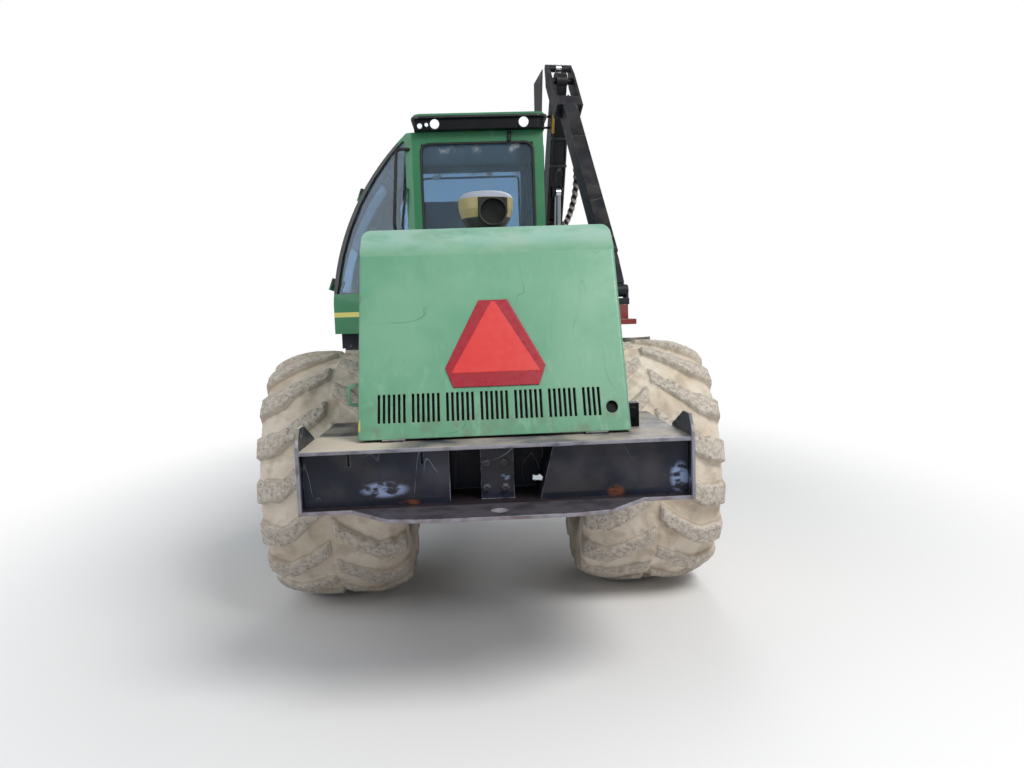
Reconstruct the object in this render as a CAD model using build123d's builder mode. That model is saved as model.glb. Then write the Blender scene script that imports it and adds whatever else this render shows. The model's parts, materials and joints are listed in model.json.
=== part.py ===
"""Forestry harvester: four-wheeled, hinged in the middle, with a crane beside the cab.

Sizes are millimetres. While it is drawn, x points to the machine's right, y forward from the
bumper's top lip and z up from the ground. The last section moves everything to the middle of
the whole machine's footprint.
"""

from build123d import *
import math
import os

# Running gaps
pin_gap = 0.3
body_gap = 6.0

# Wheels
tyre_radius = 675.0
tyre_width = 700.0
lug_height = 42.0
lug_count = 22
rim_radius = 336.0
wheel_track = 1600.0
rear_axle_y = 1500.0
wheelbase = 3500.0
hub_radius = 150.0

# Frames and middle joint
frame_width = 600.0
frame_top_z = 1020.0
frame_bottom_z = 780.0
plate = 20.0
joint_y = 3050.0
joint_z = 800.0
ear_radius = 150.0
trunnion_radius = 130.0

# Bumper
bumper_width = 1470.0
bumper_depth = 300.0
bumper_top_z = 1040.0
bumper_bottom_z = 815.0
bumper_bulge = 180.0
bumper_plate = 14.0
tow_hole_radius = 30.0
tow_hole_y = -95.0

# Hood
hood_width = 1080.0
hood_wall = 10.0
hood_rear_y = 160.0
hood_bottom_z = 1050.0
hood_shoulder_y = 470.0
hood_shoulder_z = 1780.0
hood_top_z = 1900.0
hood_front_y = 1900.0
hood_arch_z = 1432.0
slot_width = 10.5
slot_height = 109.0
slot_pitch = 20.0
slot_centre_z = 1164.0

# Cab
cab_rear_y = 3250.0
cab_front_y = 4850.0
cab_right_x = 505.0
cab_rear_left_x = -490.0
cab_left_x = -1190.0
cab_bottom_z = 1380.0
cab_top_z = 2880.0
cab_wall = 45.0
glass_thickness = 6.0
roof_height = 115.0
door_gap = 14.0

# Crane, measured in its own upright plane: r back from the pillar, z up
pillar_x = 720.0
pillar_y = 5200.0
crane_turn = 9.0
boom_foot_z = 2060.0
knuckle_r = 560.0
knuckle_z = 3610.0
tip_r = 2030.0
tip_z = 1650.0
boom_width = 160.0
boom_depth = 190.0
jib_width = 120.0
jib_depth = 160.0
jib_wall = 8.0
extension_stroke = 1100.0
pin_radius = 30.0

# Harvester head
head_top_z = 1410.0
head_height = 900.0
head_half = 200.0

pieces = []


def finish(builder, label):
    """Label a finished piece and keep it for the export."""
    builder.part.label = label
    pieces.append(builder)


def upright(x, y=0.0, z=0.0):
    """A plane that faces the machine's right, with local x forward and local y up."""
    return Plane(origin=(x, y, z), x_dir=(0, 1, 0), z_dir=(1, 0, 0))


def facing_back(y):
    """A plane that faces backward, with local x to the right and local y up."""
    return Plane(origin=(0, y, 0), x_dir=(1, 0, 0), z_dir=(0, -1, 0))


def block(x_low, x_high, y_low, y_high, z_low, z_high):
    """An upright block between two corners, for use with add()."""
    return Pos((x_low + x_high) / 2, (y_low + y_high) / 2, (z_low + z_high) / 2) * Box(
        x_high - x_low, y_high - y_low, z_high - z_low, mode=Mode.PRIVATE
    )


# Wheels: one tyre and one rim, placed four times
half_tyre = tyre_width / 2
carcass_radius = tyre_radius - lug_height
shoulder_x = half_tyre - 55
tread_edge_radius = carcass_radius - 42
bead_x = half_tyre - 55
bead_radius = rim_radius + pin_gap
lug_width = 70.0
lug_sweep = 165.0
lug_root_radius = tread_edge_radius - 25
lug_top_radius = tyre_radius - 13

side_radius = (tread_edge_radius + bead_radius) / 2
with BuildPart() as tyre_form:
    with BuildSketch(Plane.XY) as section:
        with BuildLine():
            ThreePointArc(
                (-shoulder_x, tread_edge_radius), (0, carcass_radius), (shoulder_x, tread_edge_radius)
            )
            ThreePointArc((shoulder_x, tread_edge_radius), (half_tyre, side_radius), (bead_x, bead_radius))
            Line((bead_x, bead_radius), (-bead_x, bead_radius))
            ThreePointArc(
                (-bead_x, bead_radius), (-half_tyre, side_radius), (-shoulder_x, tread_edge_radius)
            )
        make_face()
    revolve(axis=Axis.X)
    for side in (-1, 1):
        for index in range(lug_count):
            turn = (index + (0.5 if side > 0 else 0.0)) * 360 / lug_count
            out = Vector(0, math.cos(math.radians(turn)), math.sin(math.radians(turn)))
            lug_plane = Plane(origin=out * lug_root_radius, x_dir=(side, 0, 0), z_dir=out)
            run = 1 if lug_plane.y_dir.dot(Vector(0, -out.Z, out.Y)) > 0 else -1
            with BuildSketch(lug_plane):
                with BuildLine():
                    Polyline(
                        (12, run * (-lug_sweep / 2 - lug_width / 2)),
                        (half_tyre - 130, run * (lug_sweep / 2 - lug_width / 2)),
                        (half_tyre - 16, run * (lug_sweep / 2 - lug_width / 2 + 10)),
                        (half_tyre - 16, run * (lug_sweep / 2 + lug_width / 2 + 10)),
                        (half_tyre - 160, run * (lug_sweep / 2 + lug_width / 2)),
                        (12, run * (-lug_sweep / 2 + lug_width / 2)),
                        close=True,
                    )
                make_face()
            extrude(amount=lug_top_radius - lug_root_radius, taper=12)

rim_half = bead_x
rim_wall = 12.0
with BuildPart() as rim_form:
    with BuildSketch(Plane.XY):
        with BuildLine():
            Polyline(
                (-rim_half, rim_radius),
                (rim_half, rim_radius),
                (rim_half, rim_radius - rim_wall),
                (90, rim_radius - 60),
                (70, hub_radius + 40),
                (130, hub_radius),
                (130, 0),
                (40, 0),
                (40, hub_radius + 30),
                (20, rim_radius - 70),
                (-rim_half, rim_radius - rim_wall - 18),
                close=True,
            )
        make_face()
    revolve(axis=Axis.X)

wheel_places = {
    "rear_left": (-wheel_track / 2, rear_axle_y),
    "rear_right": (wheel_track / 2, rear_axle_y),
    "front_left": (-wheel_track / 2, rear_axle_y + wheelbase),
    "front_right": (wheel_track / 2, rear_axle_y + wheelbase),
}
for place, (wheel_x, wheel_y) in wheel_places.items():
    turned = 180 if wheel_x < 0 else 0
    spot = Location((wheel_x, wheel_y, tyre_radius), (0, 0, turned))
    with BuildPart() as tyre:
        add(tyre_form.part.moved(Location((wheel_x, wheel_y, tyre_radius))))
    finish(tyre, "tyre_" + place)
    with BuildPart() as rim:
        add(rim_form.part.moved(spot))
    finish(rim, "rim_" + place)

# Axles: a differential between two tubes, with a hub that stops short of the rim's disc
axle_tube_radius = 90.0
diff_radius = 185.0
axle_end = wheel_track / 2 + 40 - pin_gap
for label, axle_y in (("rear_axle", rear_axle_y), ("front_axle", rear_axle_y + wheelbase)):
    with BuildPart() as axle:
        with BuildSketch(Plane.XY.offset(tyre_radius)) as half:
            with BuildLine():
                Polyline(
                    (0, axle_y),
                    (0, axle_y + diff_radius),
                    (90, axle_y + diff_radius),
                    (190, axle_y + axle_tube_radius),
                    (wheel_track / 2 - 260, axle_y + axle_tube_radius),
                    (wheel_track / 2 - 220, axle_y + hub_radius),
                    (axle_end, axle_y + hub_radius),
                    (axle_end, axle_y),
                    close=True,
                )
            make_face()
        revolve(axis=Axis((0, axle_y, tyre_radius), (1, 0, 0)))
        mirror(about=Plane.YZ)
        add(block(-300, -200, axle_y - 110, axle_y + 110, tyre_radius, frame_bottom_z))
        add(block(200, 300, axle_y - 110, axle_y + 110, tyre_radius, frame_bottom_z))
    finish(axle, label)

# Rear frame: a box with a pocket over the differential, narrowing to the two ears of the joint
half_frame = frame_width / 2
neck_half = 160.0
rear_frame_end = 2450.0
ear_top_z = 1000.0
ear_bottom_z = 600.0
ear_plate = 40.0
arm_x = 230.0
arm_y = joint_y + 50.0
arm_plate = 40.0
steer_foot_y = rear_frame_end + 62.0
steer_foot_x = 265.0
steer_z = joint_z + arm_plate / 2 + 45
rod_radius = 22.0
barrel_radius = 38.0
with BuildPart() as rear_chassis:
    add(block(-half_frame, half_frame, bumper_depth, rear_frame_end, frame_bottom_z, frame_top_z))
    add(block(-200, 200, rear_axle_y - 250, rear_axle_y + 250, frame_bottom_z - 1, frame_top_z - plate),
        mode=Mode.SUBTRACT)
    with BuildSketch(Plane.YZ.offset(-neck_half)):
        with BuildLine():
            Polyline(
                (rear_frame_end - 60, frame_top_z),
                (rear_frame_end - 60, frame_bottom_z),
                (rear_frame_end + 60, ear_bottom_z - ear_plate / 2),
                (rear_frame_end + 280, ear_bottom_z - ear_plate / 2),
                (rear_frame_end + 280, ear_top_z + ear_plate / 2),
                close=True,
            )
        make_face()
    extrude(amount=2 * neck_half)
    for ear_z in (ear_bottom_z, ear_top_z):
        with BuildSketch(Plane.XY.offset(ear_z - ear_plate / 2)):
            with Locations((0, joint_y)):
                Circle(ear_radius)
            with Locations((0, (rear_frame_end + 200 + joint_y) / 2)):
                Rectangle(2 * ear_radius, joint_y - rear_frame_end - 200)
        extrude(amount=ear_plate)
    with BuildSketch(Plane.XY.offset(ear_bottom_z - ear_plate)):
        with Locations((0, joint_y)):
            Circle(50)
    extrude(amount=ear_top_z - ear_bottom_z + 2 * ear_plate)
    for side in (-1, 1):
        low, high = sorted((side * 215, side * half_frame))
        for shelf_z in (steer_z - 70, steer_z + 46):
            add(block(low, high, rear_frame_end, steer_foot_y + 22, shelf_z, shelf_z + 24))
        with BuildSketch(Plane.XY.offset(steer_z - 70)):
            with Locations((side * steer_foot_x, steer_foot_y)):
                Circle(20)
        extrude(amount=130)
finish(rear_chassis, "rear_chassis")

# Yoke: turns about the upright pin and carries the long trunnion that the front frame rolls on
yoke_half = 120.0
trunnion_start = joint_y + 160.0
trunnion_end = joint_y + 480.0
with BuildPart() as joint_yoke:
    add(block(-yoke_half, yoke_half, joint_y - 120, trunnion_start,
              ear_bottom_z + ear_plate / 2 + 1, ear_top_z - ear_plate / 2 - 1))
    with BuildSketch(Plane.XY.offset(joint_z - arm_plate / 2)):
        with Locations((0, arm_y)):
            SlotOverall(2 * arm_x + 90, 90)
    extrude(amount=arm_plate)
    with BuildSketch(facing_back(trunnion_end)):
        with Locations((0, joint_z)):
            Circle(trunnion_radius)
    extrude(amount=trunnion_end - trunnion_start)
    with BuildSketch(Plane.XY.offset(ear_bottom_z)):
        with Locations((0, joint_y)):
            Circle(50 + pin_gap)
    extrude(amount=ear_top_z - ear_bottom_z, mode=Mode.SUBTRACT)
finish(joint_yoke, "joint_yoke")

# Steering cylinders: the barrel turns on the rear frame, the rod's eye lies on the yoke's arm
for side, label in ((-1, "left"), (1, "right")):
    foot = Vector(side * steer_foot_x, steer_foot_y, steer_z)
    eye = Vector(side * arm_x, arm_y, steer_z)
    along = (eye - foot).normalized()
    length = (eye - foot).length
    lie = Plane(origin=foot, x_dir=(0, 0, 1), z_dir=along)
    with BuildPart() as barrel:
        with BuildSketch(lie.offset(40)):
            Circle(barrel_radius)
        extrude(amount=length * 0.62)
        with BuildSketch(lie.offset(80)):
            Circle(rod_radius + pin_gap)
        extrude(amount=length, mode=Mode.SUBTRACT)
        with BuildSketch(Plane.XY.offset(steer_z - 45)):
            with Locations((foot.X, foot.Y)):
                Circle(45)
        extrude(amount=90)
        with BuildSketch(Plane.XY.offset(steer_z - 50)):
            with Locations((foot.X, foot.Y)):
                Circle(20 + pin_gap)
        extrude(amount=100, mode=Mode.SUBTRACT)
    finish(barrel, "steering_barrel_" + label)
    with BuildPart() as rod:
        with BuildSketch(lie.offset(length * 0.39)):
            Circle(rod_radius)
        extrude(amount=length * 0.61 - 30)
        with BuildSketch(Plane.XY.offset(joint_z + arm_plate / 2 + pin_gap)):
            with Locations((eye.X, eye.Y)):
                Circle(42)
        extrude(amount=75)
    finish(rod, "steering_rod_" + label)

# Front frame: bearing housing round the trunnion, then a box to the nose
front_frame_start = trunnion_start + 50
front_half = 250.0
nose_y = 6300.0
front_axle_y = rear_axle_y + wheelbase
with BuildPart() as front_chassis:
    with BuildSketch(Plane.YZ.offset(-front_half)):
        with BuildLine():
            Polyline(
                (front_frame_start, 610),
                (front_frame_start, 990),
                (front_frame_start + 200, 1040),
                (nose_y - 150, 1040),
                (nose_y, 940),
                (nose_y, 820),
                (nose_y - 200, frame_bottom_z),
                (front_frame_start + 500, frame_bottom_z),
                (front_frame_start + 320, 610),
                close=True,
            )
        make_face()
    extrude(amount=2 * front_half)
    with BuildSketch(facing_back(trunnion_end + 20)):
        with Locations((0, joint_z)):
            Circle(trunnion_radius + pin_gap)
    extrude(amount=600, mode=Mode.SUBTRACT)
    add(block(-200, 200, front_axle_y - 250, front_axle_y + 250, frame_bottom_z - 1, frame_bottom_z + 120),
        mode=Mode.SUBTRACT)
    with BuildSketch(upright(-front_half - 1)):
        with Locations((nose_y - 90, 880)):
            Circle(35)
    extrude(amount=2 * front_half + 2, mode=Mode.SUBTRACT)
finish(front_chassis, "front_chassis")

# Bumper: a channel open to the rear, its bottom lip bulging backward in the middle
half_bumper = bumper_width / 2
bulge_half = 400.0
end_plate = 12.0
with BuildPart() as rear_bumper:
    add(block(-half_bumper, half_bumper, 0, bumper_depth, bumper_top_z - bumper_plate, bumper_top_z))
    add(block(-half_bumper, half_bumper, bumper_depth - bumper_plate, bumper_depth,
              bumper_bottom_z, bumper_top_z))
    with BuildSketch(Plane.XY.offset(bumper_bottom_z - bumper_plate)):
        with BuildLine():
            Polyline(
                (-half_bumper, bumper_depth),
                (-half_bumper, 0),
                (-bulge_half - 150, 0),
                (-bulge_half, -bumper_bulge + 25),
                (-bulge_half + 140, -bumper_bulge),
                (bulge_half - 140, -bumper_bulge),
                (bulge_half, -bumper_bulge + 25),
                (bulge_half + 150, 0),
                (half_bumper, 0),
                (half_bumper, bumper_depth),
                close=True,
            )
        make_face()
        with Locations((0, tow_hole_y)):
            Circle(tow_hole_radius, mode=Mode.SUBTRACT)
    extrude(amount=bumper_plate)
    for side in (-1, 1):
        edge = half_bumper if side > 0 else -half_bumper - end_plate
        with BuildSketch(upright(edge)):
            with BuildLine():
                Polyline(
                    (-6, bumper_bottom_z - bumper_plate),
                    (-6, bumper_top_z + 20),
                    (40, bumper_top_z + 85),
                    (120, bumper_top_z + 85),
                    (bumper_depth, bumper_top_z + 10),
                    (bumper_depth, bumper_bottom_z - bumper_plate),
                    close=True,
                )
            make_face()
        extrude(amount=end_plate)
    add(block(-64, 64, 90, bumper_depth - bumper_plate, bumper_bottom_z, bumper_top_z - bumper_plate))
    for hinge_place in (-400, 400):
        add(block(hinge_place - 45, hinge_place + 45, hood_rear_y - 12, hood_rear_y + 50, bumper_top_z,
                  hood_bottom_z - pin_gap))
finish(rear_bumper, "rear_bumper")

# Boxes inside the bumper, left and right of the centre recess
box_front = 45.0
with BuildPart() as bumper_boxes:
    add(block(-half_bumper + 2, -182, box_front, bumper_depth - bumper_plate,
              bumper_bottom_z, bumper_top_z - bumper_plate))
    for slot_x in (-560, -285):
        add(block(slot_x - 5, slot_x + 5, box_front - 1, box_front + 20, bumper_top_z - bumper_plate - 55,
                  bumper_top_z), mode=Mode.SUBTRACT)
    with BuildSketch(facing_back(bumper_depth - bumper_plate)):
        with BuildLine():
            Polyline(
                (half_bumper - 2, bumper_bottom_z),
                (half_bumper - 2, bumper_top_z - bumper_plate),
                (215, bumper_top_z - bumper_plate),
                (160, bumper_bottom_z),
                close=True,
            )
        make_face()
    extrude(amount=bumper_depth - bumper_plate - box_front)
finish(bumper_boxes, "bumper_boxes")

# Tanks between the bumper and the rear tyres, with deck plates on top
tank_end = 780.0
for side, label in ((-1, "left"), (1, "right")):
    low, high = sorted((side * (half_frame + 2), side * (half_bumper - 10)))
    with BuildPart() as tank:
        add(block(low, high, bumper_depth, tank_end, bumper_bottom_z + 10, bumper_top_z - 10))
        fillet(tank.edges().filter_by(Axis.Z), 40)
        low, high = sorted((side * (half_frame + 2), side * half_bumper))
        add(block(low, high, bumper_depth, tank_end + 20, bumper_top_z - 10, bumper_top_z - 4))
    finish(tank, "tank_" + label)

# Engine bay: deck, side walls inside the tyres and the flange that the hood closes on
bay_half = 415.0
bay_flange_half = hood_width / 2 - 20.0
housing_end = 2400.0
with BuildPart() as engine_bay:
    add(block(-half_frame, half_frame, bumper_depth, housing_end - 20, frame_top_z, frame_top_z + 6))
    for side in (-1, 1):
        low, high = sorted((side * half_frame, side * bay_half))
        add(block(low, high, tank_end + 20, housing_end - 20, frame_top_z, frame_top_z + 6))
        low, high = sorted((side * (bay_half - 6), side * bay_half))
        add(block(low, high, tank_end + 20, hood_front_y, frame_top_z, hood_arch_z - 14))
        low, high = sorted((side * (bay_half - 6), side * bay_flange_half))
        add(block(low, high, tank_end + 80, hood_front_y, hood_arch_z - 14, hood_arch_z - 8))
finish(engine_bay, "engine_bay")

with BuildPart() as engine_block:
    add(block(-300, 300, 760, 1720, frame_top_z + 6, frame_top_z + 600))
    chamfer(engine_block.edges().group_by(Axis.Z)[-1], 60)
finish(engine_block, "engine_block")

# Fixed housing for the coolers, ahead of the hood, carrying the air pre-cleaner
with BuildPart() as radiator_housing:
    with BuildSketch(facing_back(housing_end)):
        with BuildLine():
            Polyline(
                (-bay_half, frame_top_z + 6),
                (-bay_half, hood_arch_z - 10),
                (-hood_width / 2 + 5, hood_arch_z - 10),
                (-hood_width / 2 + 5, hood_top_z - 70),
                (-hood_width / 2 + 65, hood_top_z - 10),
                (hood_width / 2 - 65, hood_top_z - 10),
                (hood_width / 2 - 5, hood_top_z - 70),
                (hood_width / 2 - 5, hood_arch_z - 10),
                (bay_half, hood_arch_z - 10),
                (bay_half, frame_top_z + 6),
                close=True,
            )
        make_face()
    extrude(amount=housing_end - hood_front_y - body_gap)
finish(radiator_housing, "radiator_housing")

cleaner_x = 30.0
cleaner_y = 2120.0
cleaner_radius = 172.0
cleaner_bottom_z = 2092.0
intake_x = 70.0
intake_z = 2128.0
intake_radius = 84.0
intake_reach = cleaner_radius + 15
with BuildPart() as air_precleaner:
    with BuildSketch(Plane(origin=(cleaner_x, cleaner_y, 0), x_dir=(1, 0, 0), z_dir=(0, -1, 0))):
        with BuildLine():
            Polyline(
                (0, hood_top_z - 10),
                (110, hood_top_z - 10),
                (110, cleaner_bottom_z - 60),
                (cleaner_radius - 22, cleaner_bottom_z),
                (cleaner_radius - 4, cleaner_bottom_z + 60),
                (cleaner_radius, cleaner_bottom_z + 125),
            )
            RadiusArc(
                (cleaner_radius, cleaner_bottom_z + 125), (cleaner_radius - 60, cleaner_bottom_z + 168), -70
            )
            Polyline(
                (cleaner_radius - 60, cleaner_bottom_z + 168),
                (0, cleaner_bottom_z + 174),
                (0, hood_top_z - 10),
            )
        make_face()
    revolve(axis=Axis((cleaner_x, cleaner_y, 0), (0, 0, 1)))
    for start, radius, mode in ((70, intake_radius, Mode.ADD), (95, intake_radius - 8, Mode.SUBTRACT)):
        with BuildSketch(facing_back(cleaner_y - start)):
            with Locations((intake_x, intake_z)):
                Circle(radius)
        extrude(amount=intake_reach - start, mode=mode)
finish(air_precleaner, "air_precleaner")


# Hood: one shell that tilts about its rear lower edge
def hood_volume(inset):
    """The hood's outline from the side, across its width, drawn in by inset on every closed side."""
    with BuildPart(mode=Mode.PRIVATE) as volume:
        with BuildSketch(Plane.YZ.offset(-hood_width / 2 + inset)):
            with BuildLine():
                Polyline(
                    (hood_rear_y, hood_bottom_z),
                    (hood_shoulder_y, hood_shoulder_z),
                    (hood_shoulder_y + 130, hood_top_z),
                    (hood_front_y + inset, hood_top_z),
                    (hood_front_y + inset, hood_bottom_z - 2 * inset),
                    (hood_rear_y, hood_bottom_z - 2 * inset),
                    close=True,
                )
            make_face()
            if inset:
                offset(amount=-inset, mode=Mode.REPLACE)
        extrude(amount=hood_width - 2 * inset)
        top = volume.edges().filter_by(Axis.Y).sort_by(Axis.Z)[-2:]
        fillet(top, 38 - inset)
        if not inset:
            rear_edges = volume.edges().filter_by(lambda e: abs(e.tangent_at(0.5).X) < 0.01 and e.center().Y
                                                  < hood_shoulder_y)
            fillet(rear_edges, 14)
    return volume.part


hood_step_y = tank_end + 30
rear_slope = Vector(0, hood_shoulder_y - hood_rear_y, hood_shoulder_z - hood_bottom_z).normalized()
rear_face = Plane(
    origin=(0, hood_rear_y, hood_bottom_z), x_dir=(1, 0, 0), z_dir=(0, -rear_slope.Z, rear_slope.Y)
)
slot_groups = ((-407, 6), (-272, 6), (-136, 6), (0, 6), (136, 6), (272, 6), (389, 4))
with BuildPart() as hood:
    add(hood_volume(0.0))
    add(hood_volume(hood_wall), mode=Mode.SUBTRACT)
    add(block(-hood_width, hood_width, hood_step_y, hood_front_y + 50, hood_bottom_z - 60, hood_arch_z),
        mode=Mode.SUBTRACT)
    with BuildSketch(facing_back(hood_shoulder_y)):
        for group_x, count in slot_groups:
            with Locations((group_x, slot_centre_z)):
                with GridLocations(slot_pitch, 1, count, 1):
                    Rectangle(slot_width, slot_height)
        with Locations((469, 1140)):
            Circle(24)
    extrude(amount=hood_shoulder_y, mode=Mode.SUBTRACT)
finish(hood, "hood")

sign_centre = (1400.0 - hood_bottom_z) / rear_slope.Z
sign_x = 12.0
with BuildPart() as slow_vehicle_sign:
    with BuildSketch(rear_face.offset(pin_gap)):
        with BuildLine():
            Polyline(
                (sign_x - 172, sign_centre - 178),
                (sign_x + 172, sign_centre - 178),
                (sign_x + 203, sign_centre - 95),
                (sign_x + 60, sign_centre + 196),
                (sign_x - 60, sign_centre + 196),
                (sign_x - 203, sign_centre - 95),
                close=True,
            )
        make_face()
    extrude(amount=4)
finish(slow_vehicle_sign, "slow_vehicle_sign")

handle_reach = 50.0
with BuildPart() as hood_handle:
    with BuildSketch(Plane(origin=(-hood_width / 2, 290, 1215), x_dir=(-1, 0, 0), z_dir=(0, 1, 0))):
        with BuildLine():
            Polyline(
                (0, -50), (handle_reach, -40), (handle_reach, 40), (0, 50),
                (0, 36), (handle_reach - 12, 30), (handle_reach - 12, -30), (0, -36), close=True,
            )
        make_face()
    extrude(amount=12)
finish(hood_handle, "hood_handle")

# Lamp on the deck, beside the hood
deck_lamp_gap = 8.0
deck_lamp_width = 58.0
deck_lamp_y = 330.0
deck_lamp_x = hood_width / 2 + deck_lamp_gap
with BuildPart() as deck_lamp:
    add(block(deck_lamp_x, deck_lamp_x + deck_lamp_width, deck_lamp_y, deck_lamp_y + 60,
              bumper_top_z - 4, bumper_top_z + 95))
    fillet(deck_lamp.edges().filter_by(Axis.Z), 12)
    with BuildSketch(facing_back(deck_lamp_y)):
        with Locations((deck_lamp_x + deck_lamp_width / 2, bumper_top_z + 55)):
            Circle(24)
    extrude(amount=12)
finish(deck_lamp, "deck_lamp")


# Cab: three outlines crossed, so that the left side bulges like a bubble
def cab_volume(inset):
    """The cab's closed outer form, drawn in by inset on every side."""
    with BuildPart(mode=Mode.PRIVATE) as volume:
        with BuildSketch(facing_back(cab_front_y + 200)):
            with BuildLine():
                Polyline(
                    (cab_rear_left_x - 40, cab_top_z),
                    (cab_right_x, cab_top_z),
                    (cab_right_x, cab_bottom_z),
                    (cab_left_x, cab_bottom_z),
                    (cab_left_x, cab_bottom_z + 240),
                )
                ThreePointArc(
                    (cab_left_x, cab_bottom_z + 240),
                    (cab_left_x + 205, cab_top_z - 550),
                    (cab_rear_left_x - 40, cab_top_z),
                )
            make_face()
            if inset:
                offset(amount=-inset, kind=Kind.INTERSECTION, mode=Mode.REPLACE)
        extrude(amount=cab_front_y - cab_rear_y + 400)
        with BuildSketch(Plane.XY.offset(cab_bottom_z - 100)):
            with BuildLine():
                Polyline(
                    (cab_right_x + 100, cab_rear_y),
                    (cab_rear_left_x, cab_rear_y),
                    (cab_left_x, cab_rear_y + 310),
                    (cab_left_x - 60, cab_rear_y + 340),
                    (cab_left_x - 60, cab_front_y - 360),
                    (cab_left_x + 410, cab_front_y),
                    (cab_right_x + 100, cab_front_y),
                    close=True,
                )
            make_face()
            if inset:
                offset(amount=-inset, kind=Kind.INTERSECTION, mode=Mode.REPLACE)
        extrude(amount=cab_top_z - cab_bottom_z + 200, mode=Mode.INTERSECT)
        with BuildSketch(Plane.YZ.offset(cab_left_x - 200)):
            with BuildLine():
                Polyline(
                    (cab_rear_y - 100, cab_bottom_z - 100),
                    (cab_front_y, cab_bottom_z - 100),
                    (cab_front_y, cab_bottom_z + 320),
                    (cab_front_y - 300, cab_top_z + 100),
                    (cab_rear_y - 100, cab_top_z + 100),
                    close=True,
                )
            make_face()
            if inset:
                offset(amount=-inset, kind=Kind.INTERSECTION, mode=Mode.REPLACE)
        extrude(amount=2200, mode=Mode.INTERSECT)
    return volume.part


door_rear_y = cab_rear_y + 400
door_front_y = cab_front_y - 420
door_half_height = 600.0
door_lean = Vector(404, 0, 1080).normalized()
door_out = Vector(-door_lean.Z, 0, door_lean.X)
hinge_origin = Vector(cab_left_x + 202, door_rear_y, cab_top_z - 780) + door_out * 95
door_plane = Plane(origin=hinge_origin, x_dir=(0, 1, 0), z_dir=door_out)
door_length = door_front_y - door_rear_y


def door_prism(edge):
    """A block through the left wall, edge inside the door's own outline."""
    with BuildPart(mode=Mode.PRIVATE) as prism:
        with BuildSketch(door_plane.offset(-260)):
            with Locations((door_length / 2, 0)):
                Rectangle(door_length - 2 * edge, 2 * door_half_height - 2 * edge)
        extrude(amount=300)
    return prism.part


diagonal = Vector(cab_left_x - cab_rear_left_x, 310, 0).normalized()
diagonal_out = Vector(-diagonal.Y, diagonal.X, 0)
front_diagonal = Vector(410, 360, 0).normalized()
front_diagonal_out = Vector(-front_diagonal.Y, front_diagonal.X, 0)
window_bottom_z = 1700.0
window_top_z = cab_top_z - 88
bubble = ThreePointArc(
    (cab_left_x, cab_bottom_z + 240), (cab_left_x + 205, cab_top_z - 550), (cab_rear_left_x - 40, cab_top_z)
)
bubble_border = 34.0
diagonal_length = math.hypot(cab_left_x - cab_rear_left_x, 310)
bubble_edge = []
for share in (0.10, 0.25, 0.40, 0.55, 0.70, 0.84, 0.94):
    place = bubble @ share
    walked = (cab_rear_left_x - place.X) / (cab_rear_left_x - cab_left_x) * diagonal_length
    bubble_edge.append((bubble_border - walked, place.Y))
# Each window: its name, a plane outside the wall and the corners of its outline there
window_table = (
    ("rear", (0, cab_rear_y, 0), (0, -1, 0),
     ((-422, window_bottom_z + 60), (425, window_bottom_z + 60), (425, window_top_z), (-422, window_top_z))),
    ("rear_diagonal", (cab_rear_left_x, cab_rear_y, 0), tuple(diagonal_out),
     ((-60, window_bottom_z), (bubble_border - diagonal_length, window_bottom_z), *bubble_edge,
      (-60, bubble_edge[-1][1]))),
    ("right_rear", (cab_right_x, cab_rear_y, 0), (1, 0, 0),
     ((90, window_bottom_z), (710, window_bottom_z), (710, window_top_z), (90, window_top_z))),
    ("right_front", (cab_right_x, cab_rear_y, 0), (1, 0, 0),
     ((770, window_bottom_z), (1420, window_bottom_z), (1200, window_top_z), (770, window_top_z))),
    ("front", (0, cab_front_y, 0), (0, 1, 0),
     ((-405, window_bottom_z - 120), (-405, window_top_z), (500, window_top_z), (640, 2650), (715, 2500),
      (715, window_bottom_z - 120))),
    ("front_diagonal", (cab_left_x + 410, cab_front_y, 0), tuple(front_diagonal_out),
     ((55, window_bottom_z), (470, window_bottom_z), (350, 2060), (200, 2060))),
)


def window_prism(index):
    """A block through one wall of the cab, the size of that window."""
    name, origin, z_dir, corners = window_table[index]
    reach = 420.0 if name == "front" else 110.0
    x_dir = tuple(Vector(0, 0, 1).cross(Vector(*z_dir)))
    with BuildPart(mode=Mode.PRIVATE) as prism:
        with BuildSketch(Plane(origin=origin, x_dir=x_dir, z_dir=z_dir).offset(40)):
            with BuildLine():
                Polyline(*corners, close=True)
            make_face()
        extrude(amount=-reach)
    return prism.part


def glass_skin():
    """A thin skin in the middle of the cab's walls, from which the panes are cut."""
    with BuildPart(mode=Mode.PRIVATE) as skin:
        add(cab_volume(cab_wall / 2 - glass_thickness / 2))
        add(cab_volume(cab_wall / 2 + glass_thickness / 2), mode=Mode.SUBTRACT)
    return skin.part


knuckle_places = (-400.0, 350.0)
knuckle_length = 50.0
knuckle_radius = 14.0
with BuildPart() as cab_frame:
    add(cab_volume(0.0))
    add(cab_volume(cab_wall), mode=Mode.SUBTRACT)
    for index in range(len(window_table)):
        add(window_prism(index), mode=Mode.SUBTRACT)
    add(door_prism(-door_gap), mode=Mode.SUBTRACT)
    for place in knuckle_places:
        with BuildSketch(door_plane.offset(-100)):
            with Locations((-36.5, place)):
                Rectangle(57, knuckle_length)
        extrude(amount=100)
        with BuildSketch(Plane(origin=hinge_origin - door_lean * (place + knuckle_length / 2),
                               z_dir=tuple(door_lean))):
            Circle(knuckle_radius)
        extrude(amount=knuckle_length)
finish(cab_frame, "cab_frame")

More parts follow.
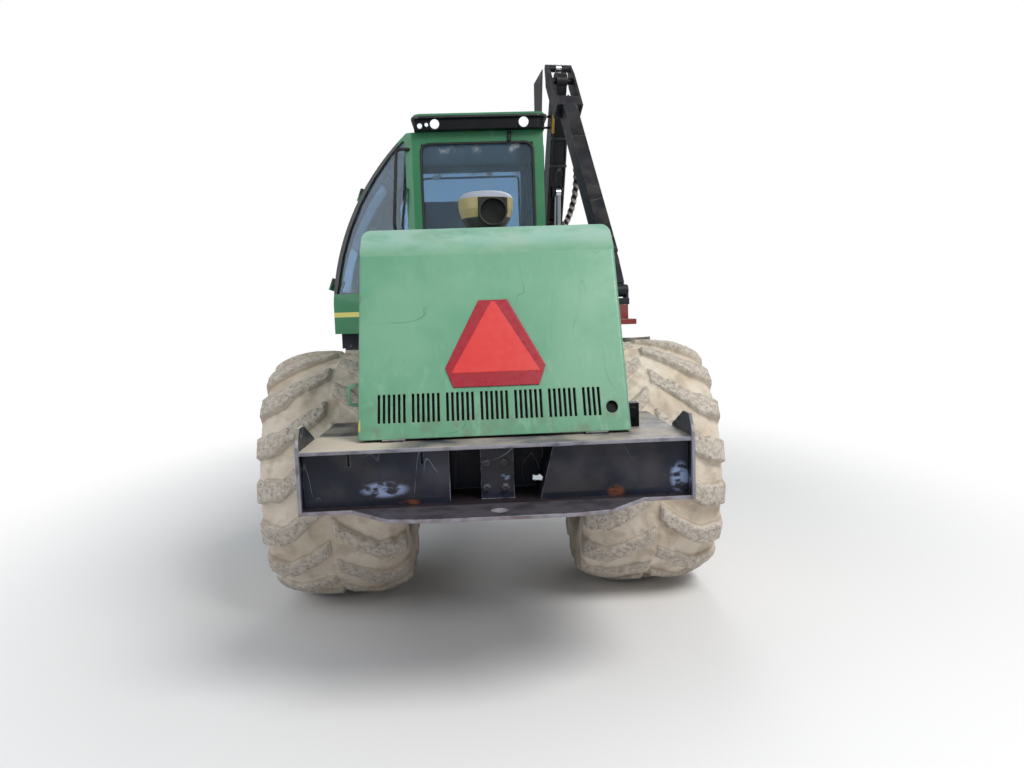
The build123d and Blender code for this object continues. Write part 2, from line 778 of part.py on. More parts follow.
with BuildPart() as cab_glass:
    add(glass_skin())
    with BuildPart(mode=Mode.PRIVATE) as windows:
        for index in range(len(window_table)):
            add(window_prism(index))
    add(windows.part, mode=Mode.INTERSECT)
finish(cab_glass, "cab_glass")

# Door: cut from the same wall, hung on two knuckles along the leaning axis
door_sill = 430.0
door_border = 60.0


def door_window():
    """The door's window, from its border down to the sill."""
    with BuildPart(mode=Mode.PRIVATE) as prism:
        with BuildSketch(door_plane.offset(-260)):
            with Locations((door_length / 2, (door_sill - door_half_height + door_border) / 2)):
                RectangleRounded(
                    door_length - 2 * door_border, door_sill + door_half_height - door_border, 40
                )
        extrude(amount=300)
    return prism.part


with BuildPart() as cab_door:
    add(cab_volume(0.0))
    add(cab_volume(cab_wall), mode=Mode.SUBTRACT)
    add(door_prism(0.0), mode=Mode.INTERSECT)
    add(door_window(), mode=Mode.SUBTRACT)
    for place in knuckle_places:
        upper = place + knuckle_length + pin_gap
        with BuildSketch(door_plane.offset(-80)):
            with Locations((30, upper)):
                Rectangle(50, knuckle_length)
        extrude(amount=80)
        with BuildSketch(Plane(origin=hinge_origin - door_lean * (upper + knuckle_length / 2),
                               z_dir=tuple(door_lean))):
            Circle(knuckle_radius)
        extrude(amount=knuckle_length)
finish(cab_door, "cab_door")

with BuildPart() as door_glass:
    add(glass_skin())
    add(door_window(), mode=Mode.INTERSECT)
finish(door_glass, "door_glass")

# Roof: a black tray that carries the lamps, under a green cap
roof_left = cab_rear_left_x + 5
roof_right = cab_right_x + 30
roof_rear = cab_rear_y - 110
roof_front = cab_front_y - 200
tray_height = 80.0
with BuildPart() as roof_tray:
    add(block(roof_left + 20, roof_right - 20, roof_rear + 25, roof_front - 20,
              cab_top_z, cab_top_z + tray_height))
    fillet(roof_tray.edges().filter_by(Axis.Z), 60)
finish(roof_tray, "roof_tray")
with BuildPart() as roof_cap:
    add(block(roof_left, roof_right, roof_rear, roof_front,
              cab_top_z + tray_height, cab_top_z + roof_height))
    fillet(roof_cap.edges().filter_by(Axis.Z), 80)
    chamfer(roof_cap.edges().group_by(Axis.Z)[-1], 20)
finish(roof_cap, "roof_cap")

# Roof lamps: x, height and radius; the rear pair is large, the small pair sits at the left
lamp_table = ((-307.0, 2916.0, 34.0), (354.0, 2918.0, 36.0), (-418.0, 2904.0, 18.0), (-368.0, 2912.0, 13.0))
with BuildPart() as roof_lamps:
    for lamp_x, lamp_z, lamp_r in lamp_table:
        with BuildSketch(facing_back(roof_rear + 25)):
            with Locations((lamp_x, lamp_z)):
                Circle(lamp_r)
        extrude(amount=22)
    for lamp_x in (-380.0, -130.0, 120.0, 370.0):
        with BuildSketch(Plane(origin=(0, roof_front - 20, 0), x_dir=(-1, 0, 0), z_dir=(0, 1, 0))):
            with Locations((-lamp_x, cab_top_z + 34)):
                Circle(32)
        extrude(amount=18)
finish(roof_lamps, "roof_lamps")

# Inside the cab: seat on its base, and the console
floor_z = cab_bottom_z + cab_wall
seat_x = -230.0
seat_y = cab_rear_y + 620
with BuildPart() as seat_base:
    add(block(seat_x - 180, seat_x + 180, seat_y - 190, seat_y + 190, floor_z, floor_z + 300))
    chamfer(seat_base.edges().filter_by(Axis.Z), 40)
    for side in (-1, 1):
        low, high = sorted((seat_x + side * 262, seat_x + side * 340))
        add(block(low, high, seat_y - 120, seat_y + 240, floor_z + 500, floor_z + 570))
        low, high = sorted((seat_x + side * 150, seat_x + side * 340))
        add(block(low, high, seat_y - 60, seat_y + 20, floor_z + 240, floor_z + 290))
        low, high = sorted((seat_x + side * 280, seat_x + side * 320))
        add(block(low, high, seat_y - 60, seat_y + 20, floor_z + 240, floor_z + 500))
finish(seat_base, "seat_base")
with BuildPart() as seat_cushion:
    add(block(seat_x - 245, seat_x + 245, seat_y - 230, seat_y + 260, floor_z + 300.3, floor_z + 420))
    fillet(seat_cushion.edges(), 35)
finish(seat_cushion, "seat_cushion")
with BuildPart() as seat_back:
    add(block(seat_x - 235, seat_x + 235, seat_y - 350, seat_y - 240, floor_z + 330, floor_z + 1010))
    fillet(seat_back.edges(), 35)
finish(seat_back, "seat_back")
with BuildPart() as seat_shell:
    add(block(seat_x - 200, seat_x + 200, seat_y - 368, seat_y - 350.3, floor_z + 250, floor_z + 940))
    add(block(seat_x - 150, seat_x + 150, seat_y - 368, seat_y - 190, floor_z + 250, floor_z + 290))
finish(seat_shell, "seat_shell")
with BuildPart() as cab_console:
    add(block(120, 400, cab_front_y - 700, cab_front_y - 260, floor_z, floor_z + 330))
    chamfer(cab_console.edges().group_by(Axis.Z)[-1], 30)
    add(block(300, 330, cab_front_y - 520, cab_front_y - 300, floor_z + 330, floor_z + 560))
finish(cab_console, "cab_console")

# Platform under the cab with the access steps on the left
platform_z = cab_bottom_z - 2
with BuildPart() as cab_platform:
    add(block(-front_half, front_half, cab_rear_y + 300, cab_front_y - 50, 1040, platform_z + 2))
    add(block(cab_left_x + 40, -front_half, cab_rear_y + 380, cab_front_y - 380,
              platform_z - 40, platform_z + 2))
    add(block(cab_left_x + 40, -front_half, cab_rear_y + 380, cab_rear_y + 400,
              platform_z - 120, platform_z - 40))
    for rail_y in (cab_rear_y + 400, cab_rear_y + 760):
        add(block(cab_left_x + 60, cab_left_x + 300, rail_y, rail_y + 14, 520, platform_z - 40))
    for tread_z in (520.0, 800.0, 1080.0):
        add(block(cab_left_x + 60, cab_left_x + 300, cab_rear_y + 400, cab_rear_y + 774,
                  tread_z, tread_z + 20))
finish(cab_platform, "cab_platform")

# Crane: everything in its own upright plane
turn = math.radians(crane_turn)
crane_plane = Plane(
    origin=(pillar_x, pillar_y, 0),
    x_dir=(math.sin(turn), -math.cos(turn), 0),
    z_dir=(-math.cos(turn), -math.sin(turn), 0),
)
crane_normal = crane_plane.z_dir
crane_deck_z = 1500.0
foot = Vector(0, boom_foot_z)
knuckle = Vector(knuckle_r, knuckle_z)
tip = Vector(tip_r, tip_z)
boom_along = (knuckle - foot).normalized()
boom_out = Vector(boom_along.Y, -boom_along.X)
boom_length = (knuckle - foot).length
jib_along = (tip - knuckle).normalized()
jib_in = Vector(jib_along.Y, -jib_along.X)
jib_length = (tip - knuckle).length
lift_foot = Vector(235, 1690)
lift_eye = foot + boom_along * 660 + boom_out * 150
jib_ram_foot = knuckle - boom_along * 1000 - boom_out * 160
lever_turn = math.radians(118)
jib_ram_eye = knuckle + Vector(math.cos(lever_turn), math.sin(lever_turn)) * 150
ear_inner = 32.0
ear_outer = 52.0

# Free hose bundle: distance back, height, distance to the left of the crane's plane
bundle_radius = 28.0
clip_half = 34.0
clip_length = 70.0
bundle_off = clip_half
bundle_route = (
    (858.8, 3021.6, 0.0),
    (1038.8, 2781.6, 0.0),
    (1036.0, 2481.0, 25.0),
    (848.0, 2249.0, 70.0),
    (514.0, 2153.0, 112.0),
    (186.0, 2272.0, 112.0),
)
bundle_start = knuckle + jib_along * 650 + jib_in * (jib_depth / 2 + clip_half)
bundle_end = Vector(*bundle_route[-1][:2])
bundle_last = (bundle_end - Vector(*bundle_route[-2][:2])).normalized()
bundle_side = Vector(-bundle_last.Y, bundle_last.X)


def in_crane(point):
    """The place in the machine of a point of the crane's plane."""
    return crane_plane.from_local_coords(Vector(point.X, point.Y, 0))


def crane_slab(half_width):
    """The plane that a crane outline is drawn on, to be extruded by twice half_width."""
    return crane_plane.offset(-half_width)


def points(*places):
    """Points of the crane's plane as pairs."""
    return [(place.X, place.Y) for place in places]


with BuildPart() as crane_base:
    add(block(-front_half, front_half, cab_front_y + 110, pillar_y + 330, 1040, crane_deck_z - 80))
    add(block(-front_half, pillar_x + 200, cab_front_y + 110, pillar_y + 230,
              crane_deck_z - 80, crane_deck_z - 20))
    with BuildSketch(Plane.XY.offset(crane_deck_z - 20)):
        with Locations((pillar_x, pillar_y)):
            Circle(205)
    extrude(amount=20 - pin_gap)
finish(crane_base, "crane_base")

pillar_radius = 125.0
with BuildPart() as crane_pillar:
    with BuildSketch(Plane.XY.offset(crane_deck_z)):
        with Locations((pillar_x, pillar_y)):
            Circle(200)
    extrude(amount=50)
    with BuildSketch(Plane.XY.offset(crane_deck_z + 50)):
        with Locations((pillar_x, pillar_y)):
            Circle(pillar_radius)
    extrude(amount=330)
    for side in (-1, 1):
        low = ear_outer + 5 if side > 0 else -(ear_outer + 30)
        with BuildSketch(crane_plane.offset(low)):
            with BuildLine():
                Polyline(
                    (-110, crane_deck_z + 300), (-75, boom_foot_z + 60), (0, boom_foot_z + 85),
                    (75, boom_foot_z + 60), (110, crane_deck_z + 300), close=True,
                )
            make_face()
        extrude(amount=25)
        low = ear_inner if side > 0 else -ear_outer
        with BuildSketch(crane_plane.offset(low)):
            with BuildLine():
                Polyline(
                    (60, lift_foot.Y - 70), (60, lift_foot.Y + 70), (lift_foot.X + 10, lift_foot.Y + 45),
                    (lift_foot.X + 45, lift_foot.Y), (lift_foot.X + 10, lift_foot.Y - 45), close=True,
                )
            make_face()
        extrude(amount=ear_outer - ear_inner)
    with BuildSketch(crane_slab(ear_outer + 30)):
        with Locations((foot.X, foot.Y)):
            Circle(pin_radius)
    extrude(amount=2 * (ear_outer + 30))
    with BuildSketch(crane_slab(ear_outer)):
        with Locations((lift_foot.X, lift_foot.Y)):
            Circle(24)
    extrude(amount=2 * ear_outer)
finish(crane_pillar, "crane_pillar")


def ram(name, ram_foot, ram_eye, barrel_length, rod_length, barrel_r, rod_r, gap_eye):
    """Draw a cylinder between two places of the crane's plane: its barrel and its rod."""
    start = in_crane(ram_foot)
    aim = in_crane(ram_eye) - start
    lie = Plane(origin=start, x_dir=tuple(crane_normal), z_dir=tuple(aim.normalized()))
    with BuildPart() as barrel:
        with BuildSketch(lie.offset(64)):
            Circle(barrel_r)
        extrude(amount=barrel_length - 64)
        with BuildSketch(lie.offset(35)):
            Circle(ear_inner - 5)
        extrude(amount=40)
        with BuildSketch(crane_slab(ear_inner - 2)):
            with Locations((ram_foot.X, ram_foot.Y)):
                Circle(46)
        extrude(amount=2 * (ear_inner - 2))
        with BuildSketch(lie.offset(95)):
            Circle(rod_r + pin_gap)
        extrude(amount=barrel_length, mode=Mode.SUBTRACT)
        with BuildSketch(crane_slab(ear_outer + 20)):
            with Locations((ram_foot.X, ram_foot.Y)):
                Circle(24 + pin_gap)
        extrude(amount=2 * (ear_outer + 20), mode=Mode.SUBTRACT)
    finish(barrel, name + "_barrel")
    with BuildPart() as rod:
        with BuildSketch(lie.offset(aim.length - 25 - rod_length)):
            Circle(rod_r)
        extrude(amount=rod_length)
        with BuildSketch(crane_slab(gap_eye)):
            with Locations((ram_eye.X, ram_eye.Y)):
                Circle(40)
        extrude(amount=2 * gap_eye)
    finish(rod, name + "_rod")


ram("lift", lift_foot, lift_eye, 560.0, 560.0, 52.0, 30.0, 24.0)
ram("jib_ram", jib_ram_foot, jib_ram_eye, 600.0, 660.0, 44.0, 25.0, 24.0)

# Main boom: an eye at the foot, a deeper middle, an eye at the knuckle, and ears for both cylinders
with BuildPart() as main_boom:
    with BuildSketch(crane_slab(ear_outer - 2)):
        with Locations((foot.X, foot.Y)):
            Circle(70)
        with BuildLine():
            Polyline(
                points(
                    foot + boom_out * 55, foot + boom_along * 200 + boom_out * 70,
                    foot + boom_along * 200 - boom_out * 70, foot - boom_out * 55,
                ),
                close=True,
            )
        make_face()
        with Locations((knuckle.X, knuckle.Y)):
            Circle(75)
        with BuildLine():
            Polyline(
                points(
                    knuckle + boom_out * 60, knuckle - boom_along * 240 + boom_out * 60,
                    knuckle - boom_along * 240 - boom_out * 60, knuckle - boom_out * 60,
                ),
                close=True,
            )
        make_face()
    extrude(amount=2 * (ear_outer - 2))
    with BuildSketch(crane_slab(boom_width / 2)):
        with BuildLine():
            Polyline(
                points(
                    foot + boom_along * 140 + boom_out * 70,
                    foot + boom_along * 420 + boom_out * boom_depth / 2,
                    foot + boom_along * 950 + boom_out * boom_depth / 2,
                    knuckle - boom_along * 180 + boom_out * 62,
                    knuckle - boom_along * 180 - boom_out * 62,
                    foot + boom_along * 950 - boom_out * boom_depth / 2,
                    foot + boom_along * 420 - boom_out * boom_depth / 2,
                    foot + boom_along * 140 - boom_out * 70,
                ),
                close=True,
            )
        make_face()
    extrude(amount=boom_width)
    for low in (ear_inner, -ear_outer):
        for eye, away in ((lift_eye, boom_out), (jib_ram_foot, -boom_out)):
            with BuildSketch(crane_plane.offset(low)):
                with BuildLine():
                    Polyline(
                        points(
                            eye - away * 75 + boom_along * 60, eye + away * 32 + boom_along * 28,
                            eye + away * 32 - boom_along * 30, eye - away * 75 - boom_along * 75,
                        ),
                        close=True,
                    )
                make_face()
            extrude(amount=ear_outer - ear_inner)
    with BuildSketch(crane_slab(ear_outer)):
        with Locations((jib_ram_foot.X, jib_ram_foot.Y)):
            Circle(24)
    extrude(amount=2 * ear_outer)
    with BuildSketch(crane_plane.offset(boom_width / 2)):
        with BuildLine():
            Polyline(
                points(
                    bundle_end - bundle_side * clip_half, bundle_end + bundle_side * clip_half,
                    bundle_end + bundle_last * clip_length + bundle_side * clip_half,
                    bundle_end + bundle_last * clip_length - bundle_side * clip_half,
                ),
                close=True,
            )
        make_face()
    extrude(amount=bundle_route[-1][2] - boom_width / 2 + clip_half)
    with BuildSketch(crane_slab(200)):
        with Locations((foot.X, foot.Y), (knuckle.X, knuckle.Y)):
            Circle(pin_radius + pin_gap)
    extrude(amount=400, mode=Mode.SUBTRACT)
finish(main_boom, "main_boom")

def widest(places):
    """The widest arc that fits at each inner point of a route: 0.45 of the shorter run either side."""
    radii = []
    for before, corner, after in zip(places, places[1:], places[2:]):
        shorter = min((corner - before).length, (after - corner).length)
        turn = math.radians((corner - before).get_angle(after - corner))
        radii.append(0.45 * shorter / math.tan(turn / 2))
    return radii


def beside_crane(point, across):
    """The place in the machine of a point of the crane's plane, moved across to its left."""
    return in_crane(point) + crane_normal * across


# Hoses clamped to the boom: across, distance out from its axis
hose_radius = 9.0
boom_hoses = ((-66.0, 107.0), (66.0, 107.0))
clamp_places = (360.0, 900.0, 1150.0)
taper = (boom_depth / 2 - 62) / (boom_length - 180 - 950)
with BuildPart() as hoses:
    for across, off in boom_hoses:
        drop = taper * (boom_length - 110 - 950)
        places = [
            beside_crane(foot + boom_along * 300 + boom_out * off, across),
            beside_crane(foot + boom_along * 950 + boom_out * off, across),
            beside_crane(foot + boom_along * (boom_length - 110) + boom_out * (off - drop), across),
        ]
        with BuildLine() as way:
            FilletPolyline(*places, radius=600)
        with BuildSketch(Plane(origin=way.line @ 0, z_dir=way.line % 0)):
            Circle(hose_radius)
        sweep()
    for place in clamp_places:
        with BuildSketch(crane_slab(80)):
            with BuildLine():
                bottom = boom_depth / 2 + pin_gap - max(0, place - 962) * taper
                Polyline(
                    points(
                        foot + boom_along * (place - 12) + boom_out * bottom,
                        foot + boom_along * (place + 12) + boom_out * bottom,
                        foot + boom_along * (place + 12) + boom_out * (bottom + 24),
                        foot + boom_along * (place - 12) + boom_out * (bottom + 24),
                    ),
                    close=True,
                )
            make_face()
        extrude(amount=160)
finish(hoses, "hoses")

# Guard plate on the left of the knuckle, carried by the boom below it
guard_across = 170.0
with BuildPart() as knuckle_guard:
    with BuildSketch(crane_plane.offset(guard_across)):
        with BuildLine():
            Polyline(
                points(
                    knuckle + Vector(30, 95), knuckle + Vector(-310, 55), knuckle + Vector(-330, -290),
                    knuckle - boom_along * 430 - boom_out * 60, knuckle - boom_along * 430 + boom_out * 50,
                    knuckle - boom_along * 300 + boom_out * 50,
                ),
                close=True,
            )
        make_face()
    extrude(amount=6)
    for low, high in ((-425, -405), (-325, -305)):
        with BuildSketch(crane_plane.offset(boom_width / 2 + pin_gap)):
            with BuildLine():
                Polyline(
                    points(
                        knuckle + boom_along * low - boom_out * 50,
                        knuckle + boom_along * high - boom_out * 50,
                        knuckle + boom_along * high, knuckle + boom_along * low,
                    ),
                    close=True,
                )
            make_face()
        extrude(amount=guard_across - boom_width / 2)
finish(knuckle_guard, "knuckle_guard")

# Jib: a fork at the knuckle and a hollow box that the extension slides in
fork_inner = boom_width / 2 + 20
fork_outer = fork_inner + 20
jib_start = 300.0
jib_end = jib_length - 330
half_depth = jib_depth / 2
with BuildPart() as jib:
    for low in (fork_inner, -fork_outer):
        with BuildSketch(crane_plane.offset(low)):
            with Locations((knuckle.X, knuckle.Y)):
                Circle(85)
            with BuildLine():
                Polyline(
                    points(
                        jib_ram_eye - jib_in * 42, knuckle - jib_in * 85,
                        knuckle + jib_along * (jib_start + 120) - jib_in * half_depth,
                        knuckle + jib_along * (jib_start + 120) + jib_in * half_depth, knuckle + jib_in * 85,
                        jib_ram_eye + jib_in * 40,
                    ),
                    close=True,
                )
            make_face()
        extrude(amount=fork_outer - fork_inner)
    with BuildSketch(crane_slab(fork_outer)):
        with Locations((knuckle.X, knuckle.Y)):
            Circle(pin_radius)
    extrude(amount=2 * fork_outer)
    with BuildSketch(crane_slab(fork_inner)):
        with BuildLine():
            Polyline(
                points(
                    knuckle + jib_along * jib_start - jib_in * half_depth,
                    knuckle + jib_along * (jib_start + 110) - jib_in * half_depth,
                    knuckle + jib_along * (jib_start + 110) + jib_in * half_depth,
                    knuckle + jib_along * jib_start + jib_in * half_depth,
                ),
                close=True,
            )
        make_face()
    extrude(amount=2 * fork_inner)
    with BuildSketch(crane_slab(jib_width / 2)):
        with BuildLine():
            Polyline(
                points(
                    knuckle + jib_along * (jib_start + 100) - jib_in * half_depth,
                    knuckle + jib_along * jib_end - jib_in * half_depth,
                    knuckle + jib_along * jib_end + jib_in * half_depth,
                    knuckle + jib_along * (jib_start + 100) + jib_in * half_depth,
                ),
                close=True,
            )
        make_face()
    extrude(amount=jib_width)
    with BuildSketch(crane_slab(jib_width / 2 - jib_wall)):
        with BuildLine():
            Polyline(
                points(
                    knuckle + jib_along * (jib_start + 130) - jib_in * (half_depth - jib_wall),
                    knuckle + jib_along * (jib_end + 50) - jib_in * (half_depth - jib_wall),
                    knuckle + jib_along * (jib_end + 50) + jib_in * (half_depth - jib_wall),
                    knuckle + jib_along * (jib_start + 130) + jib_in * (half_depth - jib_wall),
                ),
                close=True,
            )
        make_face()
    extrude(amount=jib_width - 2 * jib_wall, mode=Mode.SUBTRACT)
    for low in (ear_inner - 2, -fork_outer):
        with BuildSketch(crane_plane.offset(low)):
            with Locations((jib_ram_eye.X, jib_ram_eye.Y)):
                Circle(34)
        extrude(amount=fork_outer - ear_inner + 2)
    with BuildSketch(crane_slab(clip_half)):
        with BuildLine():
            Polyline(
                points(
                    bundle_start - jib_in * bundle_off, bundle_start + jib_in * clip_half,
                    bundle_start - jib_along * clip_length + jib_in * clip_half,
                    bundle_start - jib_along * clip_length - jib_in * bundle_off,
                ),
                close=True,
            )
        make_face()
    extrude(amount=2 * clip_half)
finish(jib, "jib")

# Extension: a smaller box on slide pads, with the tip's eye
inner_width = jib_width - 2 * jib_wall - 2 * pin_gap
inner_depth = jib_depth - 2 * jib_wall - 2 * pin_gap
inner_start = jib_end - extension_stroke - 260
with BuildPart() as jib_extension:
    with BuildSketch(crane_slab(inner_width / 2)):
        with BuildLine():
            Polyline(
                points(
                    knuckle + jib_along * inner_start - jib_in * inner_depth / 2,
                    knuckle + jib_along * (jib_end + 60) - jib_in * inner_depth / 2,
                    tip - jib_along * 40 - jib_in * 50,
                    tip - jib_along * 40 + jib_in * 50,
                    knuckle + jib_along * (jib_end + 60) + jib_in * inner_depth / 2,
                    knuckle + jib_along * inner_start + jib_in * inner_depth / 2,
                ),
                close=True,
            )
        make_face()
    extrude(amount=inner_width)
    with BuildSketch(crane_slab(inner_width / 2)):
        with Locations((tip.X, tip.Y)):
            Circle(52)
    extrude(amount=inner_width)
    with BuildSketch(crane_slab(inner_width)):
        with Locations((tip.X, tip.Y)):
            Circle(25 + pin_gap)
    extrude(amount=2 * inner_width, mode=Mode.SUBTRACT)
finish(jib_extension, "jib_extension")

# Free hoses in a spiral guard, from the jib's clip round to the side of the boom
with BuildPart() as hose_bundle:
    route = [beside_crane(Vector(r, z), across) for r, z, across in bundle_route]
    bends = widest(route)
    with BuildLine() as way:
        FilletPolyline(*route, radius=bends)
    with BuildSketch(Plane(origin=way.line @ 0, z_dir=way.line % 0)):
        Circle(bundle_radius)
    sweep()
finish(hose_bundle, "hose_bundle")
bundle_length = sum(edge.length for edge in way.edges())
print("bundle length", round(bundle_length), "bends", [round(bend) for bend in bends])
plain_volume = math.pi * bundle_radius**2 * bundle_length
print("volume over section times length", round(hose_bundle.part.volume / plain_volume, 4))

# Tip link: hangs on the tip's pin and carries the rotator
head_centre = in_crane(tip)
head_x = head_centre.X
head_y = head_centre.Y
link_bottom_z = tip_z - 110
link_plate = 18.0
with BuildPart() as tip_link:
    for low in (inner_width / 2 + 6, -inner_width / 2 - 6 - link_plate):
        with BuildSketch(crane_plane.offset(low)):
            with Locations((tip.X, tip.Y)):
                Circle(45)
            with Locations((tip.X, tip.Y - 50)):
                Rectangle(80, 100)
        extrude(amount=link_plate)
    with BuildSketch(crane_slab(inner_width / 2 + 6 + link_plate)):
        with Locations((tip.X, tip.Y)):
            Circle(25)
    extrude(amount=inner_width + 12 + 2 * link_plate)
    with BuildSketch(crane_slab(inner_width / 2 + 6 + link_plate)):
        with Locations((tip.X, tip.Y - 85)):
            Rectangle(110, 50)
    extrude(amount=inner_width + 12 + 2 * link_plate)
finish(tip_link, "tip_link")

# The head's rotator seats on the link and the head hangs under it
rotator_radius = 80.0
head_plate_z = head_top_z + 20
with BuildPart() as head_frame:
    with BuildSketch(Plane.XY.offset(head_plate_z)):
        with Locations((head_x, head_y)):
            Circle(rotator_radius)
    extrude(amount=link_bottom_z - head_plate_z - pin_gap)
    add(block(head_x - head_half, head_x + 120, head_y - 120, head_y + 120, head_top_z - 20, head_plate_z))
    add(block(head_x - head_half, head_x - 90, head_y - 105, head_y + 105,
              head_top_z - head_height, head_top_z - 20))
    add(block(head_x - head_half, head_x + 60, head_y - 120, head_y + 120,
              head_top_z - head_height - 40, head_top_z - head_height + 40))
    for side in (-1, 1):
        low, high = sorted((head_y + side * 60, head_y + side * 105))
        for plate_z in (head_top_z - 310, head_top_z - 90, head_top_z - 690, head_top_z - 390):
            add(block(head_x - 100, head_x - 20, low, high, plate_z, plate_z + 20))
finish(head_frame, "head_frame")

hinge_x = head_x - 50
hinge_off = 82.0
knife_centre_x = head_x + 70
knife_outer = 175.0
knife_inner = 140.0
knife_start = 20
knife_sweep = 130


def on_knife(reach, angle, side):
    """A point of a knife's bow, as far from its centre as told, angle degrees round on one side."""
    turned = math.radians(angle)
    return knife_centre_x + reach * math.cos(turned), head_y + side * reach * math.sin(turned)


for side, label, knife_z in ((-1, "left", head_top_z - 190), (1, "right", head_top_z - 280)):
    with BuildPart() as knife:
        with BuildSketch(Plane.XY.offset(knife_z)):
            with BuildLine():
                for reach in (knife_outer, knife_inner):
                    CenterArc((knife_centre_x, head_y), reach, side * knife_start, side * knife_sweep)
                for angle in (knife_start, knife_start + knife_sweep):
                    Line(on_knife(knife_outer, angle, side), on_knife(knife_inner, angle, side))
            make_face()
            with Locations((hinge_x, head_y + side * hinge_off)):
                Circle(26)
        extrude(amount=70)
        with BuildSketch(Plane.XY.offset(head_top_z - 290)):
            with Locations((hinge_x, head_y + side * hinge_off)):
                Circle(16)
        extrude(amount=200 - pin_gap)
    finish(knife, "knife_" + label)
    with BuildPart() as feed_arm:
        with BuildSketch(Plane.XY.offset(head_top_z - 670 + pin_gap)):
            with Locations((hinge_x, head_y + side * hinge_off)):
                Circle(24)
        extrude(amount=280 - 2 * pin_gap)
        for arm_z in (head_top_z - 670 + pin_gap, head_top_z - 420 - pin_gap):
            with BuildSketch(Plane.XY.offset(arm_z)):
                with BuildLine():
                    Polyline(
                        (hinge_x - 20, head_y + side * (hinge_off + 10)),
                        (head_x + 60, head_y + side * 175),
                        (head_x + 80, head_y + side * 130),
                        (hinge_x + 20, head_y + side * (hinge_off - 20)),
                        close=True,
                    )
                make_face()
            extrude(amount=30)
        with BuildSketch(Plane.XY.offset(head_top_z - 636)):
            with Locations((head_x + 70, head_y + side * 140)):
                RegularPolygon(88, 12)
        extrude(amount=212)
        with BuildSketch(Plane.XY.offset(head_top_z - 639)):
            with Locations((head_x + 70, head_y + side * 140)):
                Circle(20)
        extrude(amount=218)
    finish(feed_arm, "feed_arm_" + label)

# Everything moves to the middle of the whole machine's footprint, and each piece is written
os.makedirs("parts", exist_ok=True)
low = Vector(1e9, 1e9, 1e9)
high = Vector(-1e9, -1e9, -1e9)
for builder in pieces:
    box = builder.part.bounding_box()
    low = Vector(min(low.X, box.min.X), min(low.Y, box.min.Y), min(low.Z, box.min.Z))
    high = Vector(max(high.X, box.max.X), max(high.Y, box.max.Y), max(high.Z, box.max.Z))
middle = Vector((low.X + high.X) / 2, (low.Y + high.Y) / 2, low.Z)
print("middle of the footprint", round(middle.X, 3), round(middle.Y, 3), round(middle.Z, 3))
print("whole machine", round(high.X - low.X, 1), round(high.Y - low.Y, 1), round(high.Z - low.Z, 1))
for builder in pieces:
    with BuildPart() as placed:
        add(builder.part.moved(Location(-middle)))
    placed.part.label = builder.part.label
    export_step(placed.part, "parts/" + builder.part.label + ".step")
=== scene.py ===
"""Looks of the forestry harvester: finishes, muddy tyres, trim, light and camera.

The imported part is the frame. Everything here is in its axes: metres, x to the machine's right,
y forward and z up from the ground, with the origin under the middle of the machine.
"""

import json
import logging
import math
from dataclasses import dataclass
from enum import Enum

import bpy
import numpy as np
from mathutils import Matrix, Vector


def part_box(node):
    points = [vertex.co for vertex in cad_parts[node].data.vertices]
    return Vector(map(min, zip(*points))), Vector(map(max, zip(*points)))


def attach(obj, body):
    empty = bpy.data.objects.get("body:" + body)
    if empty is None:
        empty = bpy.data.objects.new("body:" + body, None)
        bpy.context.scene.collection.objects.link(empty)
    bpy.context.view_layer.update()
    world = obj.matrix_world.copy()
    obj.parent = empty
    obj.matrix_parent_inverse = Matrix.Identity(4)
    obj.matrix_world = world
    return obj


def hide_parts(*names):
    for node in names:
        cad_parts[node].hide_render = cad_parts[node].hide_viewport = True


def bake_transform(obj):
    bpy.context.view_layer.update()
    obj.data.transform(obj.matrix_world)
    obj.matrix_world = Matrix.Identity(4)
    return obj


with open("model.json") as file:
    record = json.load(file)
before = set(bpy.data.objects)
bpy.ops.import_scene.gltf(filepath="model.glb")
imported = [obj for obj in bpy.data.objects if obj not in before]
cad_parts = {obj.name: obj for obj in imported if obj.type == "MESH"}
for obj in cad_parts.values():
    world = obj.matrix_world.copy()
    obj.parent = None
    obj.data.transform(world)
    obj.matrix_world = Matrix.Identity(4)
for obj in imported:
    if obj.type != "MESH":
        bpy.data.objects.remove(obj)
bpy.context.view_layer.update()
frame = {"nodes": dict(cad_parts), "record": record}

log = logging.getLogger("harvester")

Colour = tuple[float, float, float]

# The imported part's origin in the drawing, in millimetres
MIDDLE = (16.454, 3060.0, 4.706)
WHEELS = ("rear_left", "rear_right", "front_left", "front_right")

# The crane's upright plane: the foot of its axis and its turn from straight back, in the drawing
PILLAR_X = 720.0
PILLAR_Y = 5200.0
CRANE_TURN = math.radians(9)
BOOM_FOOT = Vector((0.0, 2060.0))
KNUCKLE = Vector((560.0, 3610.0))


def screen(red: int, green: int, blue: int) -> Colour:
    """Turn a colour as read off a screen, from 0 to 255, into the linear one that shaders take."""
    return tuple(((c / 255 + 0.055) / 1.055) ** 2.4 for c in (red, green, blue))


def drawn(x: float, y: float, z: float) -> Vector:
    """Turn a point of the drawing, in millimetres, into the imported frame, in metres."""
    return Vector((x - MIDDLE[0], y - MIDDLE[1], z - MIDDLE[2])) / 1000


def in_crane(back: float, height: float, across: float) -> Vector:
    """Turn millimetres back, up and to the left in the crane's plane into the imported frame."""
    sine, cosine = math.sin(CRANE_TURN), math.cos(CRANE_TURN)
    return drawn(
        PILLAR_X + sine * back - cosine * across, PILLAR_Y - cosine * back - sine * across, height
    )


def ramp(value: np.ndarray, start: float, length: float) -> np.ndarray:
    """Rise evenly from 0 at the start to 1 after the length."""
    return np.clip((value - start) / length, 0, 1)


